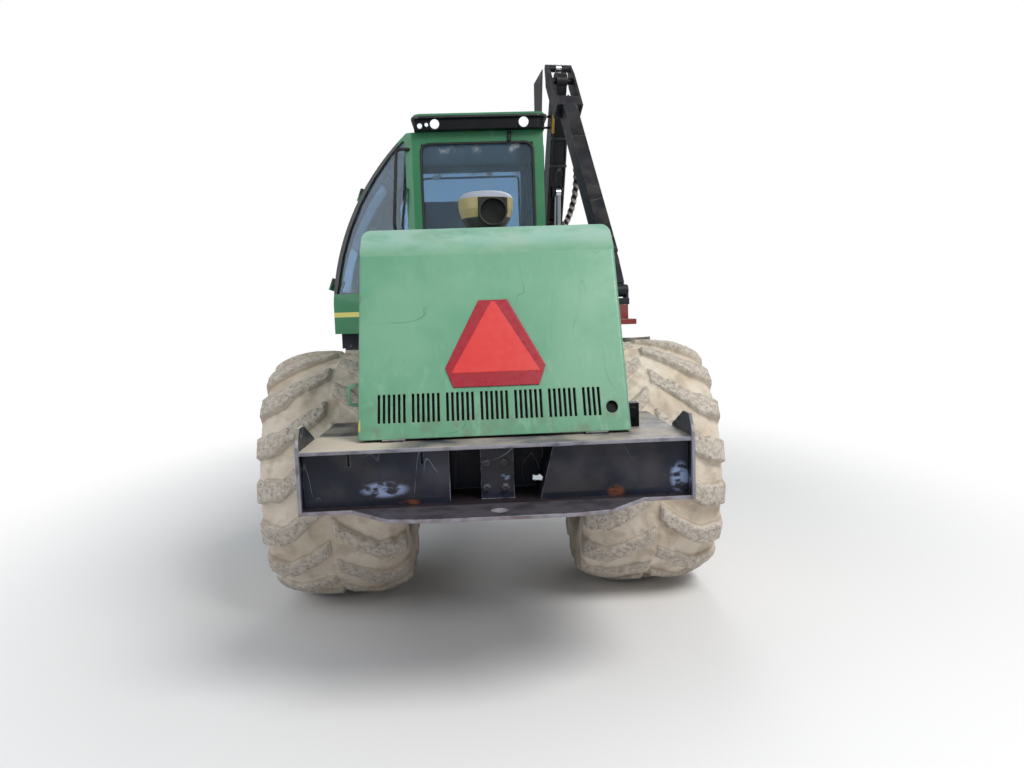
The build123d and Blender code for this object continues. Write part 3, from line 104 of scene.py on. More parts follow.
def smooth(value: np.ndarray) -> np.ndarray:
    """Ease a ramp from 0 to 1, flat at both ends: three times its square less twice its cube."""
    t = np.clip(value, 0.0, 1.0)
    return t * t * (3 - 2 * t)


def walked_along(points: np.ndarray) -> np.ndarray:
    """Add up the distance walked along a line of points, from 0 at the first."""
    return np.concatenate([[0], np.cumsum(np.linalg.norm(np.diff(points, axis=0), axis=1))])


def lattice(cells: np.ndarray, seed: int) -> np.ndarray:
    """Give each whole-numbered cell of space its own fixed number.

    The three whole numbers are mixed by odd multipliers and shifts, the same way on every run.

    Args:
        cells: Whole numbers, three to a row.
        seed: Picks one of many such fields.

    Returns:
        One number from 0 to 1 to a row.
    """
    mixed = seed * 1274126177 + sum(
        cells[..., axis] * factor for axis, factor in enumerate((374761393, 668265263, 2147483647))
    )
    mixed = mixed & 0xFFFFFFFF
    mixed = ((mixed ^ (mixed >> 13)) * 1274126177) & 0xFFFFFFFF
    return ((mixed ^ (mixed >> 16)) & 0xFFFF) / 65535.0


def lumps(points: np.ndarray, size: float, seed: int) -> np.ndarray:
    """Make soft lumps in space: fixed numbers at the corners of a grid, eased between them.

    Args:
        points: Places in metres, three to a row.
        size: Width of one lump in metres.
        seed: Picks one of many such fields.

    Returns:
        One number from 0 to 1 to a point.
    """
    scaled = points / size
    low = np.floor(scaled).astype(np.int64)
    part = smooth(scaled - low)
    total = np.zeros(points.shape[:-1])
    for corner in range(8):
        step = np.array([corner & 1, corner >> 1 & 1, corner >> 2 & 1])
        weight = np.prod(np.where(step, part, 1 - part), axis=-1)
        total += weight * lattice(low + step, seed)
    return total


def in_scene(name: str, data: bpy.types.ID) -> bpy.types.Object:
    """Make an object from a mesh, camera or light and put it into the scene.

    Args:
        name: Name of the object.
        data: What it shows.

    Returns:
        The object, at the origin.
    """
    made = bpy.data.objects.new(name, data)
    bpy.context.scene.collection.objects.link(made)
    return made


def places_of(mesh: bpy.types.Mesh) -> np.ndarray:
    """Read the points of a mesh.

    Args:
        mesh: The mesh.

    Returns:
        Their places, three numbers to a row.
    """
    places = np.empty(len(mesh.vertices) * 3)
    mesh.vertices.foreach_get("co", places)
    return places.reshape(-1, 3)


def note(made: bpy.types.Object, name: str, values: np.ndarray) -> None:
    """Keep a number with each point of a piece, in the points' order, for its material to read."""
    field = made.data.attributes.new(name, "FLOAT", "POINT")
    field.data.foreach_set("value", values.astype(np.float32).ravel())


def piece(
    name: str,
    points: np.ndarray,
    faces: list,
    material: bpy.types.Material,
    body: str,
    slot: str,
    soft: bool = True,
) -> bpy.types.Object:
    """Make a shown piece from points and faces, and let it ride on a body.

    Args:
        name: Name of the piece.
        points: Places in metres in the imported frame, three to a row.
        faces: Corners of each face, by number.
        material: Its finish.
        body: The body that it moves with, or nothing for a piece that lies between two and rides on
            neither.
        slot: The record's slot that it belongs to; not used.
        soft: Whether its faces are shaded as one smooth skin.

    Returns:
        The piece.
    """
    mesh = bpy.data.meshes.new(name)
    mesh.from_pydata(np.asarray(points, float).reshape(-1, 3).tolist(), [], faces)
    mesh.validate()
    mesh.materials.append(material)
    mesh.polygons.foreach_set("use_smooth", [soft] * len(mesh.polygons))
    mesh.update()
    made = in_scene(name, mesh)
    if body:
        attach(made, body)
    log.info("made %s on %s with %d faces", name, body or "two bodies", len(mesh.polygons))
    return made


def grid_faces(rows: int, columns: int, rows_close: bool, columns_close: bool) -> list:
    """Number the four corners of every face of a grid of points.

    Args:
        rows: How many rows of points there are.
        columns: How many points a row has.
        rows_close: Whether the last row joins the first.
        columns_close: Whether each row's last point joins its first.

    Returns:
        Four point numbers to a face.
    """
    row, column = np.meshgrid(
        np.arange(rows if rows_close else rows - 1),
        np.arange(columns if columns_close else columns - 1),
        indexing="ij",
    )
    next_row, next_column = (row + 1) % rows, (column + 1) % columns
    corners = (
        row * columns + column,
        row * columns + next_column,
        next_row * columns + next_column,
        next_row * columns + column,
    )
    return np.stack(corners, axis=-1).reshape(-1, 4).tolist()


def tube(path: np.ndarray, radius: float | np.ndarray, sides: int = 10, closed: bool = False) -> tuple:
    """Sweep a circle along a path, turning it as little as it can from point to point.

    Each ring is the point of the path plus the radius times the cosine of an angle along one
    direction across the path and its sine along the other.

    Args:
        path: Points of the centre line in metres.
        radius: The circle's radius: one number, one for each point, or one for each point and side.
        sides: Points on the circle.
        closed: Whether the path ends where it begins.

    Returns:
        Points and faces.
    """
    path = np.asarray(path, float)
    ahead = np.roll(path, -1, axis=0) - np.roll(path, 1, axis=0)
    if not closed:
        ahead[0], ahead[-1] = path[1] - path[0], path[-1] - path[-2]
    ahead /= np.linalg.norm(ahead, axis=1, keepdims=True)
    side = np.cross(ahead[0], (0.0, 0.0, 1.0) if abs(ahead[0][2]) < 0.9 else (1.0, 0.0, 0.0))
    across = np.empty_like(path)
    for index, direction in enumerate(ahead):
        side = side - direction * np.dot(side, direction)
        side = side / np.linalg.norm(side)
        across[index] = side
    up = np.cross(ahead, across)
    angle = np.linspace(0, 2 * math.pi, sides, endpoint=False)
    reach = np.asarray(radius, float)
    reach = (reach[:, None] if reach.ndim == 1 else reach) * np.ones((len(path), sides))
    cosine, sine = np.cos(angle)[None, :, None], np.sin(angle)[None, :, None]
    ring = across[:, None, :] * cosine + up[:, None, :] * sine
    points = path[:, None, :] + ring * reach[:, :, None]
    return points.reshape(-1, 3), grid_faces(len(path), sides, closed, True)


def capped(path: np.ndarray, radius: float, sides: int = 12) -> tuple:
    """Sweep a circle along an open path and close both ends with a small dome.

    Args:
        path: Points of the centre line in metres.
        radius: The circle's radius.
        sides: Points on the circle.

    Returns:
        Points and faces.
    """
    path = np.asarray(path, float)
    first, last = path[0] - path[1], path[-1] - path[-2]
    first, last = first / np.linalg.norm(first), last / np.linalg.norm(last)
    whole = np.vstack([path[:1] + first * radius * 0.30, path[:1] + first * radius * 0.25, path,
                       path[-1:] + last * radius * 0.25, path[-1:] + last * radius * 0.30])
    reach = np.full(len(whole), radius)
    reach[[0, -1]], reach[[1, -2]] = radius * 0.02, radius * 0.75
    return tube(whole, reach, sides)


def rounded(corners: list, radius: float, closed: bool = True, steps: int = 6) -> np.ndarray:
    """Round the corners of an outline: at each, a curve that starts and ends along its two sides.

    The curve is the start times the square of what is left, the corner times twice the share and
    what is left, and the end times the square of the share.

    Args:
        corners: Its corners in order.
        radius: How far from a corner the curve starts, at most 0.45 of the side.
        closed: Whether the last corner joins the first.
        steps: Points on each curve.

    Returns:
        Points in order.
    """
    places = np.array([tuple(corner) for corner in corners], float)
    before, after = np.roll(places, 1, axis=0), np.roll(places, -1, axis=0)
    back, ahead = before - places, after - places
    back_length = np.linalg.norm(back, axis=1, keepdims=True)
    ahead_length = np.linalg.norm(ahead, axis=1, keepdims=True)
    start = places + back / back_length * np.minimum(radius, 0.45 * back_length)
    end = places + ahead / ahead_length * np.minimum(radius, 0.45 * ahead_length)
    t = np.linspace(0, 1, steps)[None, :, None]
    curve = start[:, None] * (1 - t) ** 2 + places[:, None] * 2 * t * (1 - t) + end[:, None] * t**2
    if closed:
        return curve.reshape(-1, 3)
    return np.vstack([places[:1], curve[1:-1].reshape(-1, 3), places[-1:]])


def prism(outline: list, thickness: Vector) -> tuple:
    """Thicken a flat outline: its corners, and the same corners moved by the thickness.

    Args:
        outline: Corners in order, in metres.
        thickness: The step from the outline to its copy.

    Returns:
        Points and faces.
    """
    base = np.array([tuple(corner) for corner in outline], float)
    count = len(base)
    faces = [list(range(count)), list(range(2 * count - 1, count - 1, -1))]
    for index in range(count):
        after = (index + 1) % count
        faces.append([after, index, index + count, after + count])
    return np.vstack([base, base + np.array(tuple(thickness))]), faces


def joined(parts: list) -> tuple:
    """Join several meshes into one.

    Args:
        parts: Points and faces of each.

    Returns:
        Points and faces.
    """
    start, points, faces = 0, [], []
    for some_points, some_faces in parts:
        points.append(some_points)
        faces.extend((np.asarray(some_faces) + start).tolist())
        start += len(some_points)
    return np.vstack(points), faces


def bolt(place: Vector, out: Vector, radius: float) -> tuple:
    """Make a six-sided bolt head on a washer.

    Args:
        place: The middle of its seat in metres.
        out: The direction in which it stands, of length 1.
        radius: Half its width across the corners.

    Returns:
        Points and faces.
    """
    heights = np.array([0.0, 0.22, 0.22, 0.95, 1.1, 1.1]) * radius
    reach = np.array([1.35, 1.35, 1.0, 1.0, 0.82, 0.01]) * radius
    apart = heights + np.arange(6) * 1e-6
    return tube(np.array(place)[None, :] + np.array(out)[None, :] * apart[:, None], reach, 6)


class Pattern(Enum):
    """What lies over a painted surface."""

    PLAIN = "plain"
    WOVEN = "woven"
    HOOD = "hood"
    CAB = "cab"
    FRAME = "frame"
    CLEANER = "cleaner"


@dataclass(frozen=True)
class Finish:
    """How one kind of surface looks.

    Attributes:
        name: Name of the material.
        colour: Its clean colour.
        rough: How dull it is, from 0 to 1.
        metal: 1 for bare metal, 0 for the rest.
        faded: Its colour where it is worn or bleached.
        fade: How much of it is worn.
        dust: How much dust and dried mud lies on it.
        dust_height: Height in metres over which the dust thins out.
        grain: Height of its fine bumps in millimetres.
        pattern: What lies over it.
        coat: How much clear coat it has.
        edge: Its colour where an edge has rubbed bare, which is also a painted highlight along sharp
            edges.
        rubbed: How much its edges are rubbed.
        hairline: The colour of its thin curved scratches.
        hairlines: How much they show.
        shine: How much light it mirrors, from 0 to 1.
    """

    name: str
    colour: Colour
    rough: float = 0.5
    metal: float = 0.0
    faded: Colour = (0.3, 0.3, 0.3)
    fade: float = 0.3
    dust: float = 0.3
    dust_height: float = 1.6
    grain: float = 0.4
    pattern: Pattern = Pattern.PLAIN
    coat: float = 0.0
    edge: Colour = (0.36, 0.36, 0.37)
    rubbed: float = 0.0
    hairline: Colour = (0.2, 0.2, 0.2)
    hairlines: float = 0.0
    shine: float = 0.5


# The colours of dirt, marks and painted bands, and of painted shade, shadow and highlight
SAND = screen(196, 184, 168)
RUST = screen(104, 60, 42)
SCUFF = screen(148, 166, 204)
BLEACHED_GREEN = screen(140, 176, 164)
GREEN_GRIME = screen(98, 112, 88)
PATCH_YELLOW = screen(200, 182, 84)
# Painted shade inside the engine bay, under the hood
BAY_SHADE_BLACK = screen(14, 14, 16)
# Painted highlight on the bumper's rear lip
LIP_HIGHLIGHT = screen(142, 140, 150)
# Painted shade on the floor of the bumper's channel
TRAY_SHADE = screen(40, 36, 40)
# Painted shadow on the right deck
DECK_SHADOW_GREY = screen(112, 108, 112)
STRIPE_YELLOW = screen(206, 196, 104)
PANE_BLACK = screen(24, 25, 28)
ROOF_BLACK = screen(9, 10, 15)
BOWL_YELLOW = screen(160, 146, 98)
BASE_BLACK = screen(30, 31, 34)
INTAKE_BLACK = (0.0002, 0.0002, 0.0003)

# Where the bumper's panels are rubbed: the place in the drawing, how far it reaches each way, its colour
RUBS = (
    ((-429, 45, 878), (105, 60, 36), SCUFF),
    ((700, 45, 880), (46, 90, 70), SCUFF),
    ((28, 90, 900), (24, 30, 18), SCUFF),
    ((451, 45, 834), (40, 60, 32), RUST),
    ((-337, 45, 824), (46, 60, 18), RUST),
)


@dataclass(frozen=True)
class Limits:
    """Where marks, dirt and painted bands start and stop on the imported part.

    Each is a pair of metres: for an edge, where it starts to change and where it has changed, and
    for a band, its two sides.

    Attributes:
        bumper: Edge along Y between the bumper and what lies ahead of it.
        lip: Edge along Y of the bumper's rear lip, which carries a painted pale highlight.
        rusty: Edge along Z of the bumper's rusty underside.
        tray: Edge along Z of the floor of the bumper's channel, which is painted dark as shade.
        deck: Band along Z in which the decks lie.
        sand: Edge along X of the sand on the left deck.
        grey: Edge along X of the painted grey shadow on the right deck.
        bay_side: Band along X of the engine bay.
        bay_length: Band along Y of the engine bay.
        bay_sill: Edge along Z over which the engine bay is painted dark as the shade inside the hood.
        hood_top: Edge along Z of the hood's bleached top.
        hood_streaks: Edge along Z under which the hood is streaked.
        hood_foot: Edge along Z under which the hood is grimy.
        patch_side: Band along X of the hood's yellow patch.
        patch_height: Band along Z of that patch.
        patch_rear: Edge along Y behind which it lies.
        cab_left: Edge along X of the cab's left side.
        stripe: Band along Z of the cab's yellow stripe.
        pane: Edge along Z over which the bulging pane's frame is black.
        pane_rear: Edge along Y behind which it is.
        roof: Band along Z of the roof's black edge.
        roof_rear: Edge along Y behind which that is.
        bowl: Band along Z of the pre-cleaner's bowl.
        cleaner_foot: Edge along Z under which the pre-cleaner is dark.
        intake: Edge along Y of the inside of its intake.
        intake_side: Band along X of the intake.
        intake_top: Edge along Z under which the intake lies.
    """

    bumper: tuple = (-2.7, -2.66)
    lip: tuple = (-3.052, -3.046)
    rusty: tuple = (0.8, 0.815)
    tray: tuple = (0.83, 0.84)
    deck: tuple = (0.975, 1.125)
    sand: tuple = (-0.5, -0.3)
    grey: tuple = (-0.3, -0.1)
    bay_side: tuple = (-0.53, 0.498)
    bay_length: tuple = (-2.78, -1.2)
    bay_sill: tuple = (1.016, 1.022)
    hood_top: tuple = (1.76, 1.86)
    hood_streaks: tuple = (1.0, 1.5)
    hood_foot: tuple = (1.05, 1.24)
    patch_side: tuple = (-0.57, -0.547)
    patch_height: tuple = (1.085, 1.146)
    patch_rear: tuple = (-2.872, -2.862)
    cab_left: tuple = (-0.62, -0.6)
    stripe: tuple = (1.509, 1.545)
    pane: tuple = (1.690, 1.694)
    pane_rear: tuple = (0.52, 0.54)
    roof: tuple = (2.95, 2.971)
    roof_rear: tuple = (0.3, 0.32)
    bowl: tuple = (2.098, 2.212)
    cleaner_foot: tuple = (2.096, 2.098)
    intake: tuple = (-1.034, -1.030)
    intake_side: tuple = (-0.036, 0.144)
    intake_top: tuple = (2.209, 2.213)


LIMITS = Limits()

FINISHES = {
    "hood_green": Finish(
        "hood_paint", screen(88, 145, 114), 0.44, faded=screen(128, 172, 146), fade=0.4, dust=0.16,
        dust_height=1.2, grain=0.25, pattern=Pattern.HOOD, coat=0.12, edge=screen(166, 188, 172),
        rubbed=0.45, hairline=screen(58, 98, 80), hairlines=0.4,
    ),
    "housing_green": Finish(
        "housing_paint", screen(52, 122, 84), 0.45, faded=screen(98, 150, 122), fade=0.4, dust=0.22,
        dust_height=1.3, grain=0.3, coat=0.1, edge=screen(140, 160, 146), rubbed=0.5,
        hairline=screen(36, 74, 54), hairlines=0.4,
    ),
    "cab_green": Finish(
        "cab_paint", screen(30, 112, 70), 0.36, faded=screen(70, 142, 104), fade=0.3, dust=0.12,
        dust_height=1.7, grain=0.15, pattern=Pattern.CAB, coat=0.3, edge=screen(110, 150, 126),
        rubbed=0.4, hairline=screen(120, 160, 136), hairlines=0.2,
    ),
    "frame_black": Finish(
        "frame_paint", screen(27, 30, 43), 0.42, faded=screen(58, 64, 88), fade=0.5, dust=0.5,
        dust_height=0.85, grain=0.6, pattern=Pattern.FRAME, edge=screen(158, 160, 170), rubbed=0.9,
        hairline=screen(150, 158, 180), hairlines=0.5, shine=0.3,
    ),
    "rim": Finish(
        "rim_paint", screen(158, 132, 58), 0.5, faded=screen(140, 122, 92), fade=0.6, dust=0.8,
        dust_height=2.5, grain=0.6, edge=screen(96, 80, 60), rubbed=0.6,
    ),
    "roof_black": Finish(
        "roof_plastic", ROOF_BLACK, 0.5, faded=screen(26, 30, 38), fade=0.3, dust=0.05,
        edge=screen(60, 64, 70), rubbed=0.3, shine=0.15,
    ),
    "sign_red": Finish(
        "sign_border", screen(150, 12, 34), 0.3, faded=screen(160, 40, 52), fade=0.2, dust=0.05,
        grain=0.05, coat=0.4,
    ),
    "cleaner": Finish(
        "cleaner_shell", screen(142, 152, 168), 0.4, faded=screen(120, 126, 136), fade=0.4, dust=0.25,
        dust_height=3.0, grain=0.2, coat=0.1, pattern=Pattern.CLEANER,
    ),
    "engine": Finish(
        "engine_paint", screen(74, 104, 74), 0.55, faded=screen(80, 76, 66), fade=0.5, dust=0.5,
        edge=screen(120, 116, 104), rubbed=0.5,
    ),
    "seat_fabric": Finish(
        "seat_cloth", screen(58, 60, 68), 0.95, faded=screen(92, 92, 96), fade=0.4, dust=0.1,
        dust_height=3.0, grain=0.5, pattern=Pattern.WOVEN,
    ),
    "cab_plastic": Finish(
        "cab_plastic", screen(52, 54, 58), 0.6, faded=screen(84, 86, 88), fade=0.3, dust=0.15, grain=0.3,
        edge=screen(96, 98, 100), rubbed=0.3,
    ),
    "crane_black": Finish(
        "crane_paint", screen(17, 18, 24), 0.42, faded=screen(56, 60, 72), fade=0.35, dust=0.12,
        grain=0.4, edge=screen(130, 132, 138), rubbed=0.75, hairline=screen(120, 122, 128), hairlines=0.5,
        shine=0.25,
    ),
    "rod_chrome": Finish(
        "rod_chrome", screen(200, 202, 206), 0.12, metal=1.0, faded=screen(150, 150, 152), fade=0.2,
        dust=0.05, grain=0.02,
    ),
    "head_red": Finish(
        "head_paint", screen(128, 30, 32), 0.46, faded=screen(112, 84, 74), fade=0.6, dust=0.35,
        grain=0.6, edge=screen(170, 166, 162), rubbed=0.9, hairline=screen(176, 170, 164), hairlines=0.8,
    ),
    "knife_steel": Finish(
        "knife_steel", screen(150, 148, 144), 0.34, metal=0.9, faded=screen(104, 84, 66), fade=0.5,
        dust=0.2, grain=0.4, hairline=screen(70, 62, 54), hairlines=0.5,
    ),
    "hose": Finish(
        "hose_rubber", screen(24, 24, 27), 0.5, faded=screen(54, 54, 56), fade=0.3, dust=0.15,
        dust_height=4.0, grain=0.3,
    ),
    "hose_yellow": Finish(
        "hose_sleeve", screen(206, 160, 36), 0.5, faded=screen(150, 124, 66), fade=0.4, dust=0.15,
        dust_height=4.0, grain=0.3,
    ),
}

# Finishes of pieces that the drawing doesn't have
SEAL = Finish(
    "seal_rubber", screen(18, 19, 22), 0.55, faded=screen(46, 48, 52), fade=0.3, dust=0.08, grain=0.1,
)
SIGN_FACE = Finish(
    "sign_face", screen(204, 50, 46), 0.34, faded=screen(200, 72, 60), fade=0.25, dust=0.04, grain=0.05,
    coat=0.3,
)
LABEL = Finish(
    "blank_label", screen(206, 214, 222), 0.5, faded=screen(150, 160, 176), fade=0.5, dust=0.05,
    grain=0.1,
)

# Sockets of a node that mixes colours, which shares their names with its other kinds
MIX_SHARE, MIX_FIRST, MIX_SECOND, MIXED = 0, 6, 7, 2


class NodeBoard:
    """A material's nodes, with short ways to add and join them.

    Attributes:
        material: The material being made.
        tree: Its nodes and links.
        shader: Its main shader node.
        output: The node that it is shown by.
        place: Where a point lies on the object, in metres.
    """

    def __init__(self, name: str) -> None:
        """Start an empty material.

        Args:
            name: Name of the material.
        """
        self.material = bpy.data.materials.new(name)
        self.material.use_nodes = True
        self.tree = self.material.node_tree
        self.tree.nodes.clear()
        self.shader = self.add("ShaderNodeBsdfPrincipled")
        self.output = self.add("ShaderNodeOutputMaterial")
        self.tree.links.new(self.shader.outputs["BSDF"], self.output.inputs["Surface"])
        self.place = self.add("ShaderNodeTexCoord").outputs["Object"]

    def add(self, kind: str) -> bpy.types.Node:
        """Add a node of the given type."""
        return self.tree.nodes.new(kind)

    def feed(self, socket: bpy.types.NodeSocket, value: object) -> None:
        """Join a socket to another, or set it to a constant.

        Args:
            socket: The input.
            value: An output socket, a number or a colour.
        """
        if isinstance(value, bpy.types.NodeSocket):
            self.tree.links.new(value, socket)
        elif isinstance(value, tuple) and len(value) == 3 and socket.type == "RGBA":
            socket.default_value = (*value, 1.0)
        else:
            socket.default_value = value

    def noise(self, scale: float, detail: float, stretch: tuple = (1.0, 1.0, 1.0)) -> bpy.types.NodeSocket:
        """Add cloudy noise in the object's own space.

        Args:
            scale: Clouds to a metre.
            detail: How many finer layers it has.
            stretch: How much each axis is scaled first.

        Returns:
            The noise, from 0 to 1.
        """
        mapping = self.add("ShaderNodeMapping")
        self.feed(mapping.inputs["Vector"], self.place)
        mapping.inputs["Scale"].default_value = stretch
        cloud = self.add("ShaderNodeTexNoise")
        self.feed(cloud.inputs["Vector"], mapping.outputs["Vector"])
        cloud.inputs["Scale"].default_value = scale
        cloud.inputs["Detail"].default_value = detail
        return cloud.outputs["Fac"]

    def steps(
        self, value: object, low: float, high: float, start: float = 0.0, end: float = 1.0
    ) -> object:
        """Ease a value from one level to another between two limits.

        Args:
            value: What decides.
            low: Where it starts to change.
            high: Where it stops.
            start: The level below.
            end: The level above.

        Returns:
            The eased level.
        """
        node = self.add("ShaderNodeMapRange")
        node.interpolation_type = "SMOOTHSTEP"
        for name, number in (("From Min", low), ("From Max", high), ("To Min", start), ("To Max", end)):
            node.inputs[name].default_value = number
        self.feed(node.inputs["Value"], value)
        return node.outputs["Result"]

    def maths(self, operation: str, first: object, second: object = 0.0) -> object:
        """Reckon with two values.

        Args:
            operation: What to do with them.
            first: A socket or a number.
            second: A socket or a number.

        Returns:
            The result, kept between 0 and 1 for sums, differences and products.
        """
        node = self.add("ShaderNodeMath")
        node.operation = operation
        node.use_clamp = operation in ("ADD", "MULTIPLY", "SUBTRACT")
        self.feed(node.inputs[0], first)
        self.feed(node.inputs[1], second)
        return node.outputs["Value"]

    def times(self, *factors: object) -> object:
        """Multiply values one after the other.

        Args:
            *factors: Sockets and numbers.

        Returns:
            The product, kept between 0 and 1.
        """
        product = factors[0]
        for factor in factors[1:]:
            product = self.maths("MULTIPLY", product, factor)
        return product

    def mix(self, share: object, first: object, second: object) -> object:
        """Mix two colours.

        Args:
            share: How much of the second there is.
            first: A socket or a colour.
            second: A socket or a colour.

        Returns:
            The mixed colour.
        """
        node = self.add("ShaderNodeMix")
        node.data_type = "RGBA"
        self.feed(node.inputs[MIX_SHARE], share)
        self.feed(node.inputs[MIX_FIRST], first)
        self.feed(node.inputs[MIX_SECOND], second)
        return node.outputs[MIXED]

    def axis(self, name: str) -> object:
        """Take one coordinate of the place.

        Args:
            name: X, Y or Z.

        Returns:
            That coordinate, in metres.
        """
        node = self.add("ShaderNodeSeparateXYZ")
        self.feed(node.inputs["Vector"], self.place)
        return node.outputs[name]

    def facing_up(self) -> object:
        """Tell how much the surface faces up.

        Returns:
            1 where it lies flat, 0 where it stands or hangs.
        """
        node = self.add("ShaderNodeSeparateXYZ")
        self.feed(node.inputs["Vector"], self.add("ShaderNodeNewGeometry").outputs["Normal"])
        return self.steps(node.outputs["Z"], 0.35, 0.95)

    def ramp(self, name: str, limits: tuple, start: float = 0.0, end: float = 1.0) -> object:
        """Ease from one level to another between two limits of the X, Y or Z of the place."""
        return self.steps(self.axis(name), *limits, start, end)

    def under(self, name: str, limits: tuple, level: float = 1.0) -> object:
        """Give a level below two limits of the X, Y or Z of the place, and 0 above them."""
        return self.ramp(name, limits, level, 0.0)

    def between(self, name: str, limits: tuple, ease: float = 0.002) -> object:
        """Give 1 where the X, Y or Z of the place lies between two limits, and 0 outside them."""
        low, high = limits
        return self.times(self.ramp(name, (low - ease, low)), self.under(name, (high, high + ease)))

    def patches(
        self,
        scale: float,
        detail: float,
        limits: tuple,
        start: float = 0.0,
        end: float = 1.0,
        stretch: tuple = (1.0, 1.0, 1.0),
    ) -> object:
        """Turn noise into patches, eased from one level to another between two of its values."""
        return self.steps(self.noise(scale, detail, stretch), *limits, start, end)

    def near(self, middle: tuple, reach: tuple) -> object:
        """Tell how near the place is to a point of the drawing.

        Args:
            middle: The point in millimetres.
            reach: How far out it counts each way, in millimetres.

        Returns:
            1 up to half the reach, falling to 0 at the reach.
        """
        mapping = self.add("ShaderNodeMapping")
        mapping.vector_type = "TEXTURE"
        mapping.inputs["Location"].default_value = drawn(*middle)
        mapping.inputs["Scale"].default_value = Vector(reach) / 1000
        self.feed(mapping.inputs["Vector"], self.place)
        return self.steps(self.length(mapping.outputs["Vector"]), 0.5, 1.0, 1.0, 0.0)

    def length(self, vector: bpy.types.NodeSocket) -> bpy.types.NodeSocket:
        """Measure a vector.

        Args:
            vector: The socket that gives it.

        Returns:
            Its length.
        """
        node = self.add("ShaderNodeVectorMath")
        node.operation = "LENGTH"
        self.feed(node.inputs[0], vector)
        return node.outputs["Value"]

    def attribute(self, name: str) -> bpy.types.NodeSocket:
        """Read a number that is kept with the points of the piece.

        Args:
            name: Name of the attribute.

        Returns:
            The number.
        """
        node = self.add("ShaderNodeAttribute")
        node.attribute_name = name
        return node.outputs["Fac"]

    def hairlines(self, scale: float, width: float, stretch: tuple) -> object:
        """Find thin curved lines, where cloudy noise crosses its middle.

        Args:
            scale: Clouds to a metre.
            width: How far from its middle the noise still counts.
            stretch: How much each axis is scaled first.

        Returns:
            1 on a line, 0 beside it.
        """
        node = self.add("ShaderNodeMath")
        node.operation = "COMPARE"
        self.feed(node.inputs[0], self.noise(scale, 2.0, stretch))
        node.inputs[1].default_value = 0.5
        node.inputs[2].default_value = width
        return node.outputs["Value"]

    def edges(self, width: float) -> tuple:
        """Find the sharp edges of a surface.

        Args:
            width: How far from an edge counts, in metres.

        Returns:
            A normal that turns softly over each edge, and 1 at an edge.
        """
        soft = self.add("ShaderNodeBevel")
        soft.samples = 4
        soft.inputs["Radius"].default_value = width
        turned = self.add("ShaderNodeVectorMath")
        turned.operation = "DOT_PRODUCT"
        self.feed(turned.inputs[0], soft.outputs["Normal"])
        self.feed(turned.inputs[1], self.add("ShaderNodeNewGeometry").outputs["Normal"])
        return soft.outputs["Normal"], self.steps(turned.outputs["Value"], 0.86, 0.985, 1.0, 0.0)

    def bump(self, height: object, distance: float, strength: float = 1.0, normal: object = None) -> None:
        """Roughen the surface.

        Args:
            height: What makes it high or low.
            distance: Its height in metres.
            strength: How much of it shows.
            normal: The normal that it starts from, if not the surface's own.
        """
        node = self.add("ShaderNodeBump")
        node.inputs["Strength"].default_value = strength
        node.inputs["Distance"].default_value = distance
        self.feed(node.inputs["Height"], height)
        if normal is not None:
            self.feed(node.inputs["Normal"], normal)
        self.feed(self.shader.inputs["Normal"], node.outputs["Normal"])

    def finished(self, colour: object, rough: object, **others: object) -> bpy.types.Material:
        """Feed the main shader and hand the material out.

        Args:
            colour: Its colour: a socket or a constant.
            rough: How dull it is: a socket or a number.
            **others: Its other inputs, named with lines for spaces.

        Returns:
            The material.
        """
        self.feed(self.shader.inputs["Base Color"], colour)
        self.feed(self.shader.inputs["Roughness"], rough)
        for name, value in others.items():
            self.feed(self.shader.inputs[name.replace("_", " ")], value)
        return self.material


@dataclass(frozen=True)
class MuddyRubber:
    """Tyre rubber under dried mud: sandy in the grooves, greyer and chipped on the lugs.

    Attributes:
        pale: Dry mud in the grooves.
        damp: Mud in the grooves that dried last.
        stain: Stains on it.
        lug: Mud on the lugs.
        lug_dark: Darker mud on the lugs.
        pit: Pits in the lugs.
        edge: The lugs' rubbed edges.
    """

    pale: Colour = screen(214, 203, 188)
    damp: Colour = screen(194, 180, 162)
    stain: Colour = screen(166, 150, 131)
    lug: Colour = screen(196, 187, 176)
    lug_dark: Colour = screen(170, 160, 149)
    pit: Colour = screen(104, 94, 84)
    edge: Colour = screen(110, 96, 80)

    def make(self) -> bpy.types.Material:
        """Make the material, which reads how much of a lug there is at each point.

        Returns:
            The material.
        """
        board = NodeBoard("muddy_rubber")
        lug = board.attribute("lug")
        groove = board.mix(board.patches(3.5, 5.0, (0.38, 0.66)), self.pale, self.damp)
        groove = board.mix(board.times(board.patches(9.0, 6.0, (0.5, 0.66)), 0.5), groove, self.stain)
        top = board.mix(board.patches(46.0, 6.0, (0.36, 0.64)), self.lug, self.lug_dark)
        colour = board.mix(board.steps(lug, 0.35, 0.9), groove, top)
        pitted = board.steps(lug, 0.5, 0.95, 0.05, 0.75)
        colour = board.mix(board.times(board.patches(90.0, 4.0, (0.58, 0.68)), pitted), colour, self.pit)
        edge = board.times(board.steps(lug, 0.06, 0.3), board.steps(lug, 0.4, 0.7, 1.0, 0.0), 0.35)
        colour = board.mix(edge, colour, self.edge)
        pebbles = board.times(board.noise(70.0, 6.0), board.steps(lug, 0.4, 0.9, 0.2, 0.45))
        board.bump(board.maths("ADD", board.times(board.noise(18.0, 6.0), 0.55), pebbles), 0.014)
        return board.finished(colour, 0.95)


